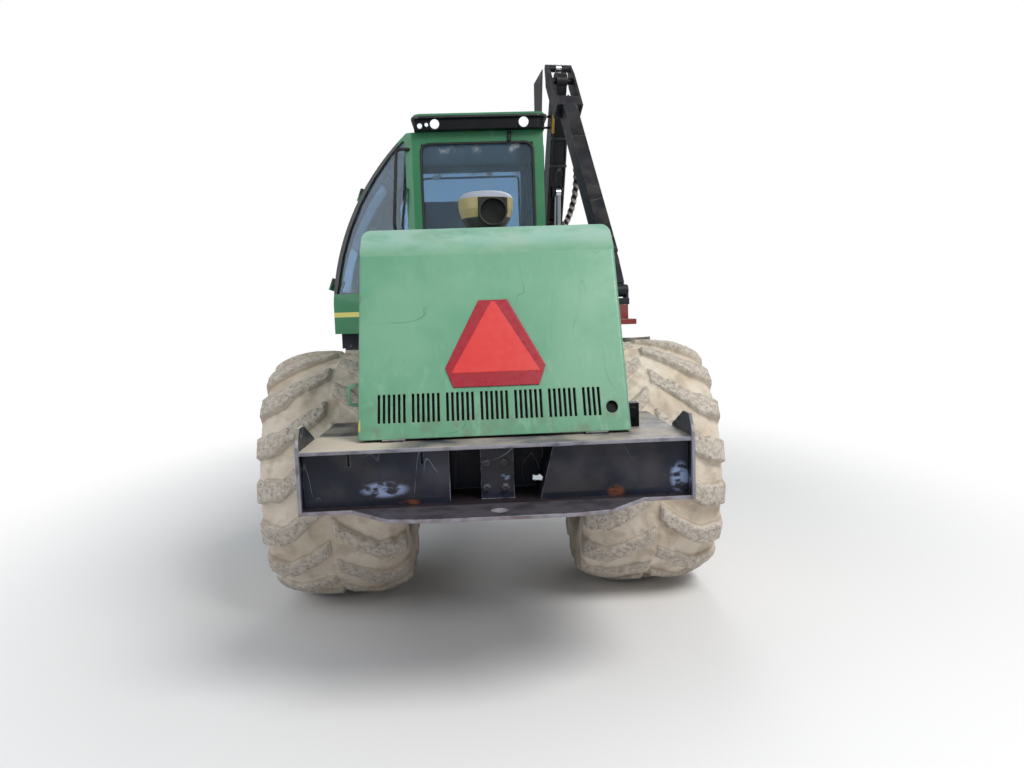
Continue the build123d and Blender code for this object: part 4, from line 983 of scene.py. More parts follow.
@dataclass(frozen=True)
class SpiralGuard:
    """The hoses' guard: pale grey strips with brown hose between them.

    Attributes:
        hose: The hose between the strips.
        pale: The strips.
        soiled: The strips where they are soiled.
    """

    hose: Colour = screen(66, 46, 38)
    pale: Colour = screen(224, 222, 216)
    soiled: Colour = screen(186, 180, 172)

    def make(self) -> bpy.types.Material:
        """Make the material, which reads whether each point lies on a strip.

        Returns:
            The material.
        """
        board = NodeBoard("spiral_guard")
        strip = board.mix(board.patches(30.0, 4.0, (0.4, 0.7)), self.pale, self.soiled)
        colour = board.mix(board.steps(board.attribute("strip"), 0.3, 0.7), self.hose, strip)
        board.bump(board.noise(120.0, 3.0), 0.001, 0.5)
        return board.finished(colour, 0.55)


@dataclass(frozen=True)
class WindowGlass:
    """Bluish glass with dust along its upper and lower edges.

    Attributes:
        tint: The glass.
        dust: The dust on it.
        dusty_top: Edge along Z over which it is dusty, in metres.
        dusty_foot: Edge along Z under which it is.
    """

    tint: Colour = screen(160, 188, 212)
    dust: Colour = screen(196, 190, 178)
    dusty_top: tuple = (2.70, 2.76)
    dusty_foot: tuple = (1.58, 1.85)

    def make(self) -> bpy.types.Material:
        """Make the material.

        Returns:
            The material.
        """
        board = NodeBoard("window_glass")
        top = board.ramp("Z", self.dusty_top, 0.12, 0.75)
        ends = board.maths("ADD", top, board.under("Z", self.dusty_foot, 0.5))
        dust = board.times(board.patches(11.0, 6.0, (0.42, 0.72)), ends)
        return board.finished(
            board.mix(dust, self.tint, self.dust),
            board.steps(dust, 0.0, 0.8, 0.02, 0.5),
            Transmission_Weight=board.steps(dust, 0.0, 1.0, 0.95, 0.35),
            IOR=1.45,
        )


@dataclass(frozen=True)
class LampLens:
    """A bright ribbed lamp lens.

    Attributes:
        glass: The lens.
        glow: What it shines of itself.
    """

    glass: Colour = screen(226, 232, 238)
    glow: Colour = screen(214, 224, 236)

    def make(self) -> bpy.types.Material:
        """Make the material.

        Returns:
            The material.
        """
        board = NodeBoard("lamp_lens")
        board.bump(board.noise(60.0, 1.0, (1.0, 1.0, 6.0)), 0.002, 0.6)
        return board.finished(
            self.glass, 0.12, Coat_Weight=0.6, Emission_Color=self.glow, Emission_Strength=0.3
        )


class PaintShop:
    """Makes every material once and hands it out.

    Attributes:
        by_slot: The material of each slot of the record.
        seal: Rubber round the panes.
        sign_face: The bright face of the triangle.
        label: What is left of a blank label.
        guard: The spiral guard round the free hoses.
    """

    def __init__(self) -> None:
        """Make all the materials."""
        self.by_slot = {name: self.painted(finish) for name, finish in FINISHES.items()}
        self.by_slot["tyre"] = MuddyRubber().make()
        self.by_slot["glass"] = WindowGlass().make()
        self.by_slot["lamp"] = LampLens().make()
        self.seal = self.painted(SEAL)
        self.sign_face = self.painted(SIGN_FACE)
        self.label = self.painted(LABEL)
        self.guard = SpiralGuard().make()

    def painted(self, finish: Finish) -> bpy.types.Material:
        """Make a painted or plain surface, worn and dusty as its finish says.

        Args:
            finish: How it looks.

        Returns:
            The material.
        """
        board = NodeBoard(finish.name)
        fine = board.noise(38.0, 4.0)
        worn = board.times(board.patches(2.3, 5.0, (0.42, 0.72)), finish.fade)
        colour = board.mix(worn, finish.colour, finish.faded)
        if finish.hairlines:
            colour = self.scratches(board, finish, colour)
        if finish.pattern is Pattern.HOOD:
            colour = self.hood_marks(board, finish, colour)
        if finish.pattern is Pattern.CAB:
            colour = self.cab_bands(board, colour)
        if finish.pattern is Pattern.FRAME:
            colour = self.frame_marks(board, colour)
        if finish.pattern is Pattern.CLEANER:
            colour = self.cleaner_bands(board, colour)
        if finish.pattern is Pattern.WOVEN:
            fine = board.noise(260.0, 1.0)
            colour = board.mix(board.steps(fine, 0.35, 0.65), colour, finish.faded)
        # Sharp edges get a paler colour in patches: partly rubbed paint, partly a painted highlight
        normal, edge = board.edges(0.006)
        chips = board.patches(24.0, 3.0, (0.35, 0.6))
        colour = board.mix(board.times(edge, chips, finish.rubbed), colour, finish.edge)
        dust = self.dust(board, finish)
        if finish.pattern is Pattern.FRAME:
            # Painted shade: the engine bay is painted near black; it and the bumper's channel, also
            # painted shade, stay bare of dust
            bay = self.engine_bay(board)
            colour = board.mix(board.times(bay, 0.9), colour, BAY_SHADE_BLACK)
            tray = board.times(board.under("Z", LIMITS.tray), board.under("Y", LIMITS.bumper))
            dust = board.times(dust, board.maths("SUBTRACT", 1.0, board.maths("MAXIMUM", bay, tray)))
        colour = board.mix(dust, colour, SAND)
        dull = board.steps(fine, 0.2, 0.8, finish.rough - 0.07, finish.rough + 0.07)
        board.bump(fine, finish.grain / 1000, 0.6, normal)
        return board.finished(
            colour,
            board.maths("ADD", dull, board.times(dust, 0.4)),
            Metallic=finish.metal,
            Coat_Weight=finish.coat,
            Specular_IOR_Level=finish.shine,
        )

    def dust(self, board: NodeBoard, finish: Finish) -> object:
        """Gather dust in patches, more on what faces up and near the ground.

        Args:
            board: The material being made.
            finish: How it looks.

        Returns:
            How much dust lies on the place.
        """
        low = board.ramp("Z", (0.1, finish.dust_height), 1.0, 0.12)
        cover = board.maths("ADD", board.times(board.facing_up(), 0.9), low)
        return board.times(board.patches(5.5, 6.0, (0.34, 0.66)), cover, finish.dust)

    def engine_bay(self, board: NodeBoard) -> object:
        """Give 1 where the place lies in the engine bay, which is painted dark as shade, and 0 outside it.
        """
        inside = board.times(board.between("X", LIMITS.bay_side), board.between("Y", LIMITS.bay_length))
        return board.times(inside, board.ramp("Z", LIMITS.bay_sill))

    def scratches(self, board: NodeBoard, finish: Finish, colour: object) -> object:
        """Lay thin curved scratches over a colour, in patches.

        Args:
            board: The material being made.
            finish: How it looks.
            colour: The colour so far.

        Returns:
            The colour with scratches.
        """
        for scale, stretch, patch_scale in ((1.1, (1.0, 1.0, 3.0), 3.1), (2.2, (2.6, 1.0, 0.7), 4.3)):
            lines = board.hairlines(scale, 0.0026, stretch)
            share = board.times(lines, board.patches(patch_scale, 2.0, (0.5, 0.62)), finish.hairlines)
            colour = board.mix(share, colour, finish.hairline)
        return colour

    def hood_marks(self, board: NodeBoard, finish: Finish, colour: object) -> object:
        """Bleach the hood's upper edge, streak it below and leave a yellow patch at its lower left.

        Args:
            board: The material being made.
            finish: How it looks.
            colour: The colour so far.

        Returns:
            The marked colour.
        """
        bleached = board.times(board.ramp("Z", LIMITS.hood_top),
                               board.patches(7.0, 4.0, (0.3, 0.6), 0.35, 0.85, (1.0, 1.0, 3.0)))
        colour = board.mix(bleached, colour, BLEACHED_GREEN)
        streaks = board.times(board.patches(9.0, 3.0, (0.5, 0.72), stretch=(4.0, 4.0, 0.35)),
                              board.ramp("Z", LIMITS.hood_streaks, 0.5, 0.1))
        colour = board.mix(streaks, colour, finish.faded)
        foot = board.under("Z", LIMITS.hood_foot, 0.7)
        colour = board.mix(board.times(board.patches(16.0, 5.0, (0.42, 0.7)), foot), colour, GREEN_GRIME)
        patch = board.times(
            board.between("X", LIMITS.patch_side),
            board.between("Z", LIMITS.patch_height, 0.012),
            board.under("Y", LIMITS.patch_rear),
        )
        return board.mix(patch, colour, PATCH_YELLOW)

    def frame_marks(self, board: NodeBoard, colour: object) -> object:
        """Rub and rust the black frame, and paint shade, shadow and a highlight on it.

        The bumper's panels have rub marks and its underside is rusty. The floor of its channel is
        painted dark as shade, and its lip carries a painted pale highlight in patches. Flakes of rust
        lie ahead of it. At the rear, sand lies on the left deck, and the right deck is painted grey in
        patches as shadow.

        Args:
            board: The material being made.
            colour: The colour so far.

        Returns:
            The marked colour.
        """
        behind = board.under("Y", LIMITS.bumper)
        ragged = board.patches(20.0, 6.0, (0.42, 0.56), stretch=(1.0, 1.0, 2.2))
        flakes = board.times(board.patches(4.3, 6.0, (0.63, 0.67), stretch=(1.0, 1.3, 1.0)),
                             board.maths("SUBTRACT", 0.7, behind))
        rust = board.maths("ADD", flakes, board.times(board.under("Z", LIMITS.rusty), behind, 0.75))
        for middle, reach, tint in RUBS:
            spot = board.times(board.near(middle, reach), ragged)
            if tint is RUST:
                rust = board.maths("ADD", rust, spot)
            else:
                colour = board.mix(board.times(spot, 0.8), colour, tint)
        colour = board.mix(rust, colour, RUST)
        # Painted highlight: a pale grey band in patches along the bumper's rear lip
        lip = board.times(board.under("Y", LIMITS.lip), board.patches(14.0, 4.0, (0.3, 0.6), 0.35, 0.9))
        colour = board.mix(lip, colour, LIP_HIGHLIGHT)
        # Painted shade: the up-facing floor of the bumper's channel is painted dark
        tray = board.times(board.under("Z", LIMITS.tray, 0.8), behind, board.facing_up())
        colour = board.mix(tray, colour, TRAY_SHADE)
        deck = board.times(board.between("Z", LIMITS.deck), board.facing_up(), behind)
        colour = board.mix(board.times(deck, board.under("X", LIMITS.sand, 0.95)), colour, SAND)
        # Painted shadow: the right deck is painted grey in patches, darker than the sand on the left
        dirt = board.patches(9.0, 5.0, (0.25, 0.75), 0.3, 0.9)
        return board.mix(board.times(deck, dirt, board.ramp("X", LIMITS.grey)), colour, DECK_SHADOW_GREY)

    def cab_bands(self, board: NodeBoard, colour: object) -> object:
        """Lay the cab's yellow stripe, the black frame round its bulging pane and the roof's black edge.

        Args:
            board: The material being made.
            colour: The colour so far.

        Returns:
            The banded colour.
        """
        left = board.under("X", LIMITS.cab_left)
        colour = board.mix(board.times(board.between("Z", LIMITS.stripe), left), colour, STRIPE_YELLOW)
        border = board.times(board.ramp("Z", LIMITS.pane), left, board.under("Y", LIMITS.pane_rear))
        colour = board.mix(border, colour, PANE_BLACK)
        roof = board.times(board.between("Z", LIMITS.roof), board.under("Y", LIMITS.roof_rear))
        return board.mix(roof, colour, ROOF_BLACK)

    def cleaner_bands(self, board: NodeBoard, colour: object) -> object:
        """Lay the pre-cleaner's yellow bowl between its pale dome and dark base, and a black intake.

        Args:
            board: The material being made.
            colour: The colour so far.

        Returns:
            The banded colour.
        """
        colour = board.mix(board.between("Z", LIMITS.bowl), colour, BOWL_YELLOW)
        colour = board.mix(board.under("Z", LIMITS.cleaner_foot), colour, BASE_BLACK)
        intake = board.times(board.under("Y", LIMITS.intake), board.between("X", LIMITS.intake_side),
                             board.under("Z", LIMITS.intake_top))
        return board.mix(intake, colour, INTAKE_BLACK)


@dataclass
class Tyre:
    """One tyre with chevron lugs, packed with mud. It stands for the tyre of the drawing.

    The skin is a grid wound round the axle. Its section is a rounded box: the sine and cosine of an
    angle, each raised to a power below 1 with its sign kept. Each lug lifts the skin along its
    slanting centre line. Lumps of mud fill the grooves and eat the lugs' edges.

    Attributes:
        place: Which wheel it belongs to.
        seed: Picks its own lumps of mud.
        lugs: How many lugs each half has.
        around: Points round the axle.
        across: Points across the section.
        half_width: Half its width under the mud, in metres, as all that follows.
        crown: Radius of its crown.
        middle: Radius where it is widest.
        bead: Radius of its bead.
        reach: The largest radius that a lug may reach.
        side_reach: The farthest sideways that mud may reach.
        bead_turn: How far the section's angle runs past level to the bead, in radians.
        boxiness: The power of the section's sine and cosine.
        sweep: How far a lug slants round the tyre.
        hook: How far its outer end slants further.
        lug_half: Half a lug's width at the crown.
        lug_widens: How much that grows to the shoulder.
        lug_height: A lug's height at the crown.
        lug_grows: How much that grows to the shoulder.
        flank: Width of a lug's slope.
        lug_ends: Distances from the crown where a lug starts and ends.
        lump_sizes: Widths of the broad, small and tiny lumps of mud.
        lump_heights: Their heights.
        cake_size: Width of the thick cakes of mud.
        cake_height: Their height.
    """

    place: str
    seed: int
    lugs: int = 17
    around: int = 576
    across: int = 144
    half_width: float = 0.350
    crown: float = 0.633
    middle: float = 0.470
    bead: float = 0.3365
    reach: float = 0.6685
    side_reach: float = 0.3505
    bead_turn: float = math.radians(36)
    boxiness: float = 0.8
    sweep: float = 0.164
    hook: float = 0.012
    lug_half: float = 0.030
    lug_widens: float = 0.020
    lug_height: float = 0.033
    lug_grows: float = 0.016
    flank: float = 0.024
    lug_ends: tuple = (0.004, 0.415)
    lump_sizes: tuple = (0.075, 0.026, 0.011)
    lump_heights: tuple = (0.010, 0.006, 0.003)
    cake_size: float = 0.16
    cake_height: float = 0.020

    def section(self) -> tuple:
        """Walk the tyre's section at even steps, from one bead over the crown to the other.

        Returns:
            Sideways place, radius, distance from the crown, and the outward direction.
        """
        angle = np.linspace(-self.bead_turn, math.pi + self.bead_turn, 4000)
        lowest = abs(math.sin(self.bead_turn)) ** self.boxiness
        depth = np.where(np.sin(angle) > 0, self.crown - self.middle, (self.middle - self.bead) / lowest)
        x = self.half_width * np.sign(np.cos(angle)) * np.abs(np.cos(angle)) ** self.boxiness
        r = self.middle + depth * np.sign(np.sin(angle)) * np.abs(np.sin(angle)) ** self.boxiness
        walked = walked_along(np.stack([x, r], axis=-1))
        even = np.linspace(0, walked[-1], self.across)
        x, r = np.interp(even, walked, x), np.interp(even, walked, r)
        along = np.stack([np.gradient(x), np.gradient(r)], axis=-1)
        along /= np.linalg.norm(along, axis=1, keepdims=True)
        out = np.stack([along[:, 1], -along[:, 0]], axis=-1)
        return x, r, even - walked[-1] / 2, out

    def beside_lug(self, phase: np.ndarray, x: np.ndarray, span: np.ndarray) -> np.ndarray:
        """Measure how far each point is from the centre line of its nearest lug, round the tyre.

        The line slants evenly from the crown to the shoulder and a little more beyond it. The
        lugs of the two halves stand half a pitch apart.

        Args:
            phase: Angle round the axle.
            x: Sideways place.
            span: Distance from the crown along the section.

        Returns:
            The distance in metres.
        """
        pitch = 2 * math.pi / self.lugs
        shift = -self.sweep / 2 + self.sweep * ramp(span, 0.012, 0.208)
        shift = shift + self.hook * ramp(span, 0.22, 0.12)
        half_turn = np.where(x > 0, 0.5, 0.0)[None, :] * pitch
        turn = (phase - half_turn - shift / self.crown + pitch / 2) % pitch - pitch / 2
        return np.abs(turn) * self.crown

    def skin(self, flat: np.ndarray, beside: np.ndarray, span: np.ndarray) -> tuple:
        """Raise lugs and mud on the section.

        A lug is full inside its half width and falls to nothing over its flank, and lumps make its
        edge ragged. The higher of lug and mud shows, with a share of the lower one added.

        Args:
            flat: The bare section's points round the axle.
            beside: Distance from the nearest lug's centre line.
            span: Distance from the crown along the section.

        Returns:
            How much of a lug there is, from 0 to 1, and how far the skin is raised.
        """
        broad, small, tiny = (
            lumps(flat, size, self.seed + number) for number, size in enumerate(self.lump_sizes)
        )
        half = self.lug_half + self.lug_widens * ramp(span, 0, 0.33)
        half = half + 0.020 * (small - 0.5) + 0.012 * (broad - 0.5)
        lift = smooth((half + self.flank - beside) / self.flank)
        starts, ends = self.lug_ends
        lift = lift * smooth((span - starts) / 0.014) * smooth((ends - span) / 0.05)
        tall = self.lug_height + self.lug_grows * ramp(span, 0, 0.3)
        cake = smooth((lumps(flat, self.cake_size, self.seed + 3) - 0.55) / 0.25)
        mud = sum(height * lump for height, lump in zip(self.lump_heights, (broad, small, tiny)))
        mud = mud + self.cake_height * cake * (0.6 + 0.4 * small)
        lug = tall * lift * (1 - 0.25 * small * broad) + 0.004 * (tiny - 0.5) * lift
        raised = np.maximum(lug, mud) + 0.3 * np.minimum(lug, mud)
        thinner_side = 0.25 + 0.75 * smooth((0.50 - span) / 0.08)
        return lift, raised * thinner_side * smooth((0.565 - span) / 0.03)

    def build(self, material: bpy.types.Material) -> None:
        """Make the tyre.

        Args:
            material: Its finish.
        """
        low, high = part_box("tyre_" + self.place)
        centre = (low + high) / 2
        x, r, walk, out = self.section()
        phase = np.linspace(0, 2 * math.pi, self.around, endpoint=False)[:, None]
        span = np.abs(walk)[None, :]
        beside = self.beside_lug(phase, x, span)
        sideways = np.broadcast_to(x[None, :], beside.shape)
        ahead, up = np.cos(phase), np.sin(phase)
        flat = np.stack([sideways, r[None, :] * ahead, r[None, :] * up], axis=-1)
        lift, raised = self.skin(flat, beside, span)
        radius = np.minimum(r[None, :] + out[None, :, 1] * raised, self.reach)
        sideways = np.clip(x[None, :] + out[None, :, 0] * raised, -self.side_reach, self.side_reach)
        points = np.stack([sideways, radius * ahead, radius * up], axis=-1) + np.array(centre)
        faces = grid_faces(self.around, self.across, True, True)
        made = piece("muddy_tyre_" + self.place, points, faces, material, "wheel_" + self.place, "tyre")
        note(made, "lug", lift)
        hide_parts("tyre_" + self.place)


@dataclass
class WheelBolts:
    """A ring of bolts on a wheel's hub and another on its disc.

    Attributes:
        rings: Each ring: its radius, its distance out from the wheel's middle, how many bolts it
            has and their size.
    """

    rings: tuple = ((0.112, 0.130, 10, 0.013), (0.232, 0.0795, 12, 0.011))

    def build(self, place: str, shop: PaintShop) -> None:
        """Make one wheel's bolts.

        Args:
            place: Which wheel.
            shop: Where the materials come from.
        """
        low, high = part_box("rim_" + place)
        centre = (low + high) / 2
        side = 1 if centre.x > 0 else -1
        parts = []
        for radius, off, count, size in self.rings:
            for turn in np.arange(count) * 2 * math.pi / count:
                spot = centre + Vector((side * off, radius * math.cos(turn), radius * math.sin(turn)))
                parts.append(bolt(spot, Vector((side, 0, 0)), size))
        piece("wheel_bolts_" + place, *joined(parts), shop.by_slot["rim"], "wheel_" + place, "rim", False)


@dataclass
class HoseBundle:
    """Free hoses in a spiral guard, which sag from the jib's clip to the side of the boom.

    Attributes:
        route: Its line's points: millimetres back, up and to the left in the crane's plane.
        radius: Half its width in metres.
        groove: How much thinner it is between the guard's strips.
        turn_length: Metres from one turn of the guard to the next.
        rings: Points along it.
        sides: Points round it.
        leaves: Where the bundle starts to turn from the jib towards the boom, in the crane's plane; not
            used.
        arrives: Where it goes with the boom alone; not used.
    """

    route: tuple = (
        (858.8, 3021.6, 0.0),
        (1038.8, 2781.6, 0.0),
        (1036.0, 2481.0, 25.0),
        (848.0, 2249.0, 70.0),
        (514.0, 2153.0, 112.0),
        (186.0, 2272.0, 112.0),
    )
    radius: float = 0.028
    groove: float = 0.006
    turn_length: float = 0.062
    rings: int = 420
    sides: int = 28
    leaves: tuple = (1000.0, 2840.0, 0.0)
    arrives: tuple = (230.0, 2262.0, 112.0)

    def centre_line(self) -> np.ndarray:
        """Read evenly spaced points from a smooth line that the route's points pull.

        Returns:
            Points in metres.
        """
        curve = bpy.data.curves.new("bundle_line", "CURVE")
        curve.dimensions = "3D"
        spline = curve.splines.new("NURBS")
        spline.points.add(len(self.route) - 1)
        for point, place in zip(spline.points, self.route):
            point.co = (*in_crane(*place), 1.0)
        spline.order_u = 3
        spline.use_endpoint_u = True
        spline.resolution_u = 40
        holder = bpy.data.objects.new("bundle_line", curve)
        mesh = bpy.data.meshes.new_from_object(holder)
        places = places_of(mesh)
        bpy.data.objects.remove(holder)
        bpy.data.meshes.remove(mesh)
        bpy.data.curves.remove(curve)
        walked = walked_along(places)
        even = np.linspace(0, walked[-1], self.rings)
        return np.stack([np.interp(even, walked, places[:, axis]) for axis in range(3)], axis=-1)

    def build(self, shop: PaintShop) -> None:
        """Make the bundle, with a raised strip wound round it as a helix.

        A point lies on the strip where the turns walked along the line plus its share of the way
        round are near a half beyond a whole number.

        Args:
            shop: Where the materials come from.
        """
        path = self.centre_line()
        walked = walked_along(path)
        around = np.arange(self.sides)[None, :] / self.sides
        wound = (walked[:, None] / self.turn_length + around) % 1.0
        strip = smooth((0.25 - np.abs(wound - 0.5)) / 0.05)
        points, faces = tube(path, self.radius - self.groove * (1 - strip), self.sides)
        made = piece("guarded_hoses", points, faces, shop.guard, "", "hose")
        note(made, "strip", strip)
        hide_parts("hose_bundle")
        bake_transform(made)


@dataclass
class HoodRear:
    """The triangle's bright face on the hood's sloping rear wall, and a dark screen behind its slots as
    painted shade.

    Everything is in the drawing's millimetres, and heights are along the wall.

    Attributes:
        wall_foot: The middle of the wall's lower edge.
        wall_rise: The step from there to its upper edge.
        sign_height: How high over the wall's foot the triangle's middle is, straight up.
        sign_proud: How far its bright face stands off the wall.
        bottom: Lower edge of the face, from the triangle's middle.
        top: Its upper edge.
        half_base: Half the width of its lower edge.
        half_tip: Half the width of its upper edge.
        centre: How far the triangle stands right of the middle.
        screen_low: Lower edge of the screen, from the wall's foot.
        screen_high: Its upper edge.
        screen_half: Half its width.
        screen_depth: How far it lies inside the wall's outer face.
        face_thickness: Thickness of the bright face, in metres.
        screen_thickness: Thickness of the screen, in metres.
    """

    wall_foot: tuple = (0, 160, 1050)
    wall_rise: tuple = (0, 310, 730)
    sign_height: float = 350.0
    sign_proud: float = 4.3
    bottom: float = -119.0
    top: float = 190.0
    half_base: float = 180.0
    half_tip: float = 8.0
    centre: float = 12.0
    screen_low: float = 40.0
    screen_high: float = 215.0
    screen_half: float = 505.0
    screen_depth: float = 16.0
    face_thickness: float = 0.0008
    screen_thickness: float = 0.002

    def build(self, shop: PaintShop) -> None:
        """Make the bright face and the dark screen, which is painted shade.

        Args:
            shop: Where the materials come from.
        """
        slope = Vector(self.wall_rise).normalized()
        out = Vector((0, -slope.z, slope.y))
        foot = Vector(self.wall_foot)
        middle = foot + slope * (self.sign_height / slope.z) + out * self.sign_proud
        middle = middle + Vector((self.centre, 0, 0))
        widths, heights = (self.half_base, self.half_tip), (self.bottom, self.top)
        face = prism(self.trapezium(middle, slope, widths, heights), out * self.face_thickness)
        piece("sign_face", *face, shop.sign_face, "hood", "sign_red", False)
        # A dark sheet inside the wall: painted shade seen through the slots
        inside = foot - out * self.screen_depth
        widths, heights = (self.screen_half, self.screen_half), (self.screen_low, self.screen_high)
        shade_sheet = prism(self.trapezium(inside, slope, widths, heights), out * self.screen_thickness)
        piece("slot_shade_sheet", *shade_sheet, shop.by_slot["roof_black"], "hood", "roof_black", False)

    def trapezium(self, origin: Vector, slope: Vector, halves: tuple, heights: tuple) -> list:
        """Lay out four corners on the wall.

        Args:
            origin: The point that they are laid out from, in the drawing.
            slope: The direction up the wall.
            halves: Half its width below and above.
            heights: How far up the wall its lower and upper edges are.

        Returns:
            The corners in order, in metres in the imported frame.
        """
        low, high = (origin + slope * height for height in heights)
        base, tip = (Vector((half, 0, 0)) for half in halves)
        return [drawn(*corner) for corner in (low - base, low + base, high + tip, high - tip)]


@dataclass
class CabTrim:
    """Rubber seals round the panes, the handrail and the rear wiper.

    Attributes:
        seal: Half the width of a seal in metres.
        seal_seat: How far its middle stands off the wall, in the drawing's millimetres.
        panes: Each pane: a place on the wall, the wall's outward direction, the pane's corners there as
            millimetres along and up, and how far they are rounded.
        rail: The handrail's corners in the drawing.
        arm: The wiper arm's corners.
        motor: The two ends of the wiper's motor.
        rail_radius: Half the handrail's thickness in metres.
        arm_radius: Half the arm's.
        motor_radius: Half the motor's.
        bend: How far from a corner a rail starts to bend, in metres.
    """

    seal: float = 0.010
    seal_seat: float = 2.0
    panes: tuple = (
        ("rear", (0, 3250, 0), (0, -1, 0), ((-422, 1760), (425, 1760), (425, 2792), (-422, 2792)), 70),
        ("right_rear", (505, 3250, 0), (1, 0, 0), ((90, 1700), (710, 1700), (710, 2792), (90, 2792)), 50),
        ("right_front", (505, 3250, 0), (1, 0, 0),
         ((770, 1700), (1420, 1700), (1200, 2792), (770, 2792)), 50),
        ("front", (0, 4850, 0), (0, 1, 0),
         ((-405, 1580), (-405, 2792), (500, 2792), (640, 2650), (715, 2500), (715, 1580)), 40),
        ("front_diagonal", (-780, 4850, 0), (-360, 410, 0),
         ((55, 1700), (470, 1700), (350, 2060), (200, 2060)), 30),
    )
    rail: tuple = (
        (-512, 3262, 2759),
        (-560, 3236, 2760),
        (-607, 3240, 2752),
        (-626, 3252, 2500),
        (-649, 3262, 2190),
        (-640, 3300, 2150),
    )
    arm: tuple = ((-540, 3258, 2470), (-556, 3250, 2400), (-589, 3262, 2189))
    motor: tuple = ((249, 3236, 2868), (246, 3236, 2800))
    rail_radius: float = 0.012
    arm_radius: float = 0.008
    motor_radius: float = 0.014
    bend: float = 0.03

    def build(self, shop: PaintShop) -> None:
        """Make the trim.

        Args:
            shop: Where the materials come from.
        """
        for name, place, facing, corners, radius in self.panes:
            out = Vector(facing).normalized()
            along = Vector((0, 0, 1)).cross(out)
            seat = Vector(place) + out * self.seal_seat
            outline = [drawn(*(seat + along * x + Vector((0, 0, z)))) for x, z in corners]
            seal = tube(rounded(outline, radius / 1000), self.seal, 10, True)
            piece("seal_" + name, *seal, shop.seal, "front_frame", "roof_black")
        rail, arm, motor = (
            [drawn(*place) for place in places] for places in (self.rail, self.arm, self.motor)
        )
        handrail = capped(rounded(rail, self.bend, False), self.rail_radius)
        piece("handrail", *handrail, shop.seal, "front_frame", "roof_black")
        bar = capped(rounded(arm, self.bend, False), self.arm_radius)
        wiper = joined([bar, capped(np.array(motor), self.motor_radius)])
        piece("wiper", *wiper, shop.seal, "front_frame", "roof_black")


@dataclass
class BumperTrim:
    """Bolts on the bumper's tow block, and what is left of a blank label.

    Attributes:
        bolts: The middles of the bolts' seats in the drawing.
        bolt_radius: Half a bolt's width across its corners, in metres.
        label: The label's corners in the drawing, across and up.
        label_face: How far forward from the bumper's lip the label is.
        label_thickness: Its thickness in metres.
    """

    bolts: tuple = ((-43, 90, 860), (29, 90, 857), (-43, 90, 960), (29, 90, 958))
    bolt_radius: float = 0.013
    label: tuple = ((132, 892), (168, 889), (171, 903), (160, 913), (147, 908), (133, 912))
    label_face: float = 44.5
    label_thickness: float = 0.0008

    def build(self, shop: PaintShop) -> None:
        """Make them.

        Args:
            shop: Where the materials come from.
        """
        black = shop.by_slot["frame_black"]
        back = Vector((0, -1, 0))
        heads = joined([bolt(drawn(*place), back, self.bolt_radius) for place in self.bolts])
        piece("tow_block_bolts", *heads, black, "rear_frame", "frame_black", False)
        label = prism([drawn(x, self.label_face, z) for x, z in self.label], back * self.label_thickness)
        piece("label_rest", *label, shop.label, "rear_frame", "frame_black", False)


@dataclass
class BoomTrim:
    """Yellow sleeves on the boom's hoses.

    The hoses lie on the boom's outer side, which tapers between two distances from its foot.

    Attributes:
        root: Where the taper starts, in millimetres along the boom.
        tip: How far before the knuckle it ends.
        root_half: Half the boom's height at the root.
        tip_half: Half its height at the tip.
        over: How far a hose's middle lies over the boom's face.
        across: How far a hose lies to each side of the boom's middle.
        ends: Where a sleeve starts and stops, along the boom.
        radius: Half a sleeve's width in metres.
    """

    root: float = 950.0
    tip: float = 180.0
    root_half: float = 95.0
    tip_half: float = 62.0
    over: float = 12.0
    across: float = 66.0
    ends: tuple = (1200.0, 1500.0)
    radius: float = 0.013

    def build(self, shop: PaintShop) -> None:
        """Make them along the straight upper run of each hose.

        Args:
            shop: Where the materials come from.
        """
        boom = KNUCKLE - BOOM_FOOT
        along = boom.normalized()
        out = Vector((along.y, -along.x))
        taper = (self.root_half - self.tip_half) / (boom.length - self.root - self.tip)
        parts = []
        for across in (-self.across, self.across):
            line = [
                BOOM_FOOT + along * far + out * (self.root_half + self.over - taper * (far - self.root))
                for far in self.ends
            ]
            parts.append(capped(np.array([in_crane(*place, across) for place in line]), self.radius))
        piece("hose_sleeves", *joined(parts), shop.by_slot["hose_yellow"], "boom", "hose")


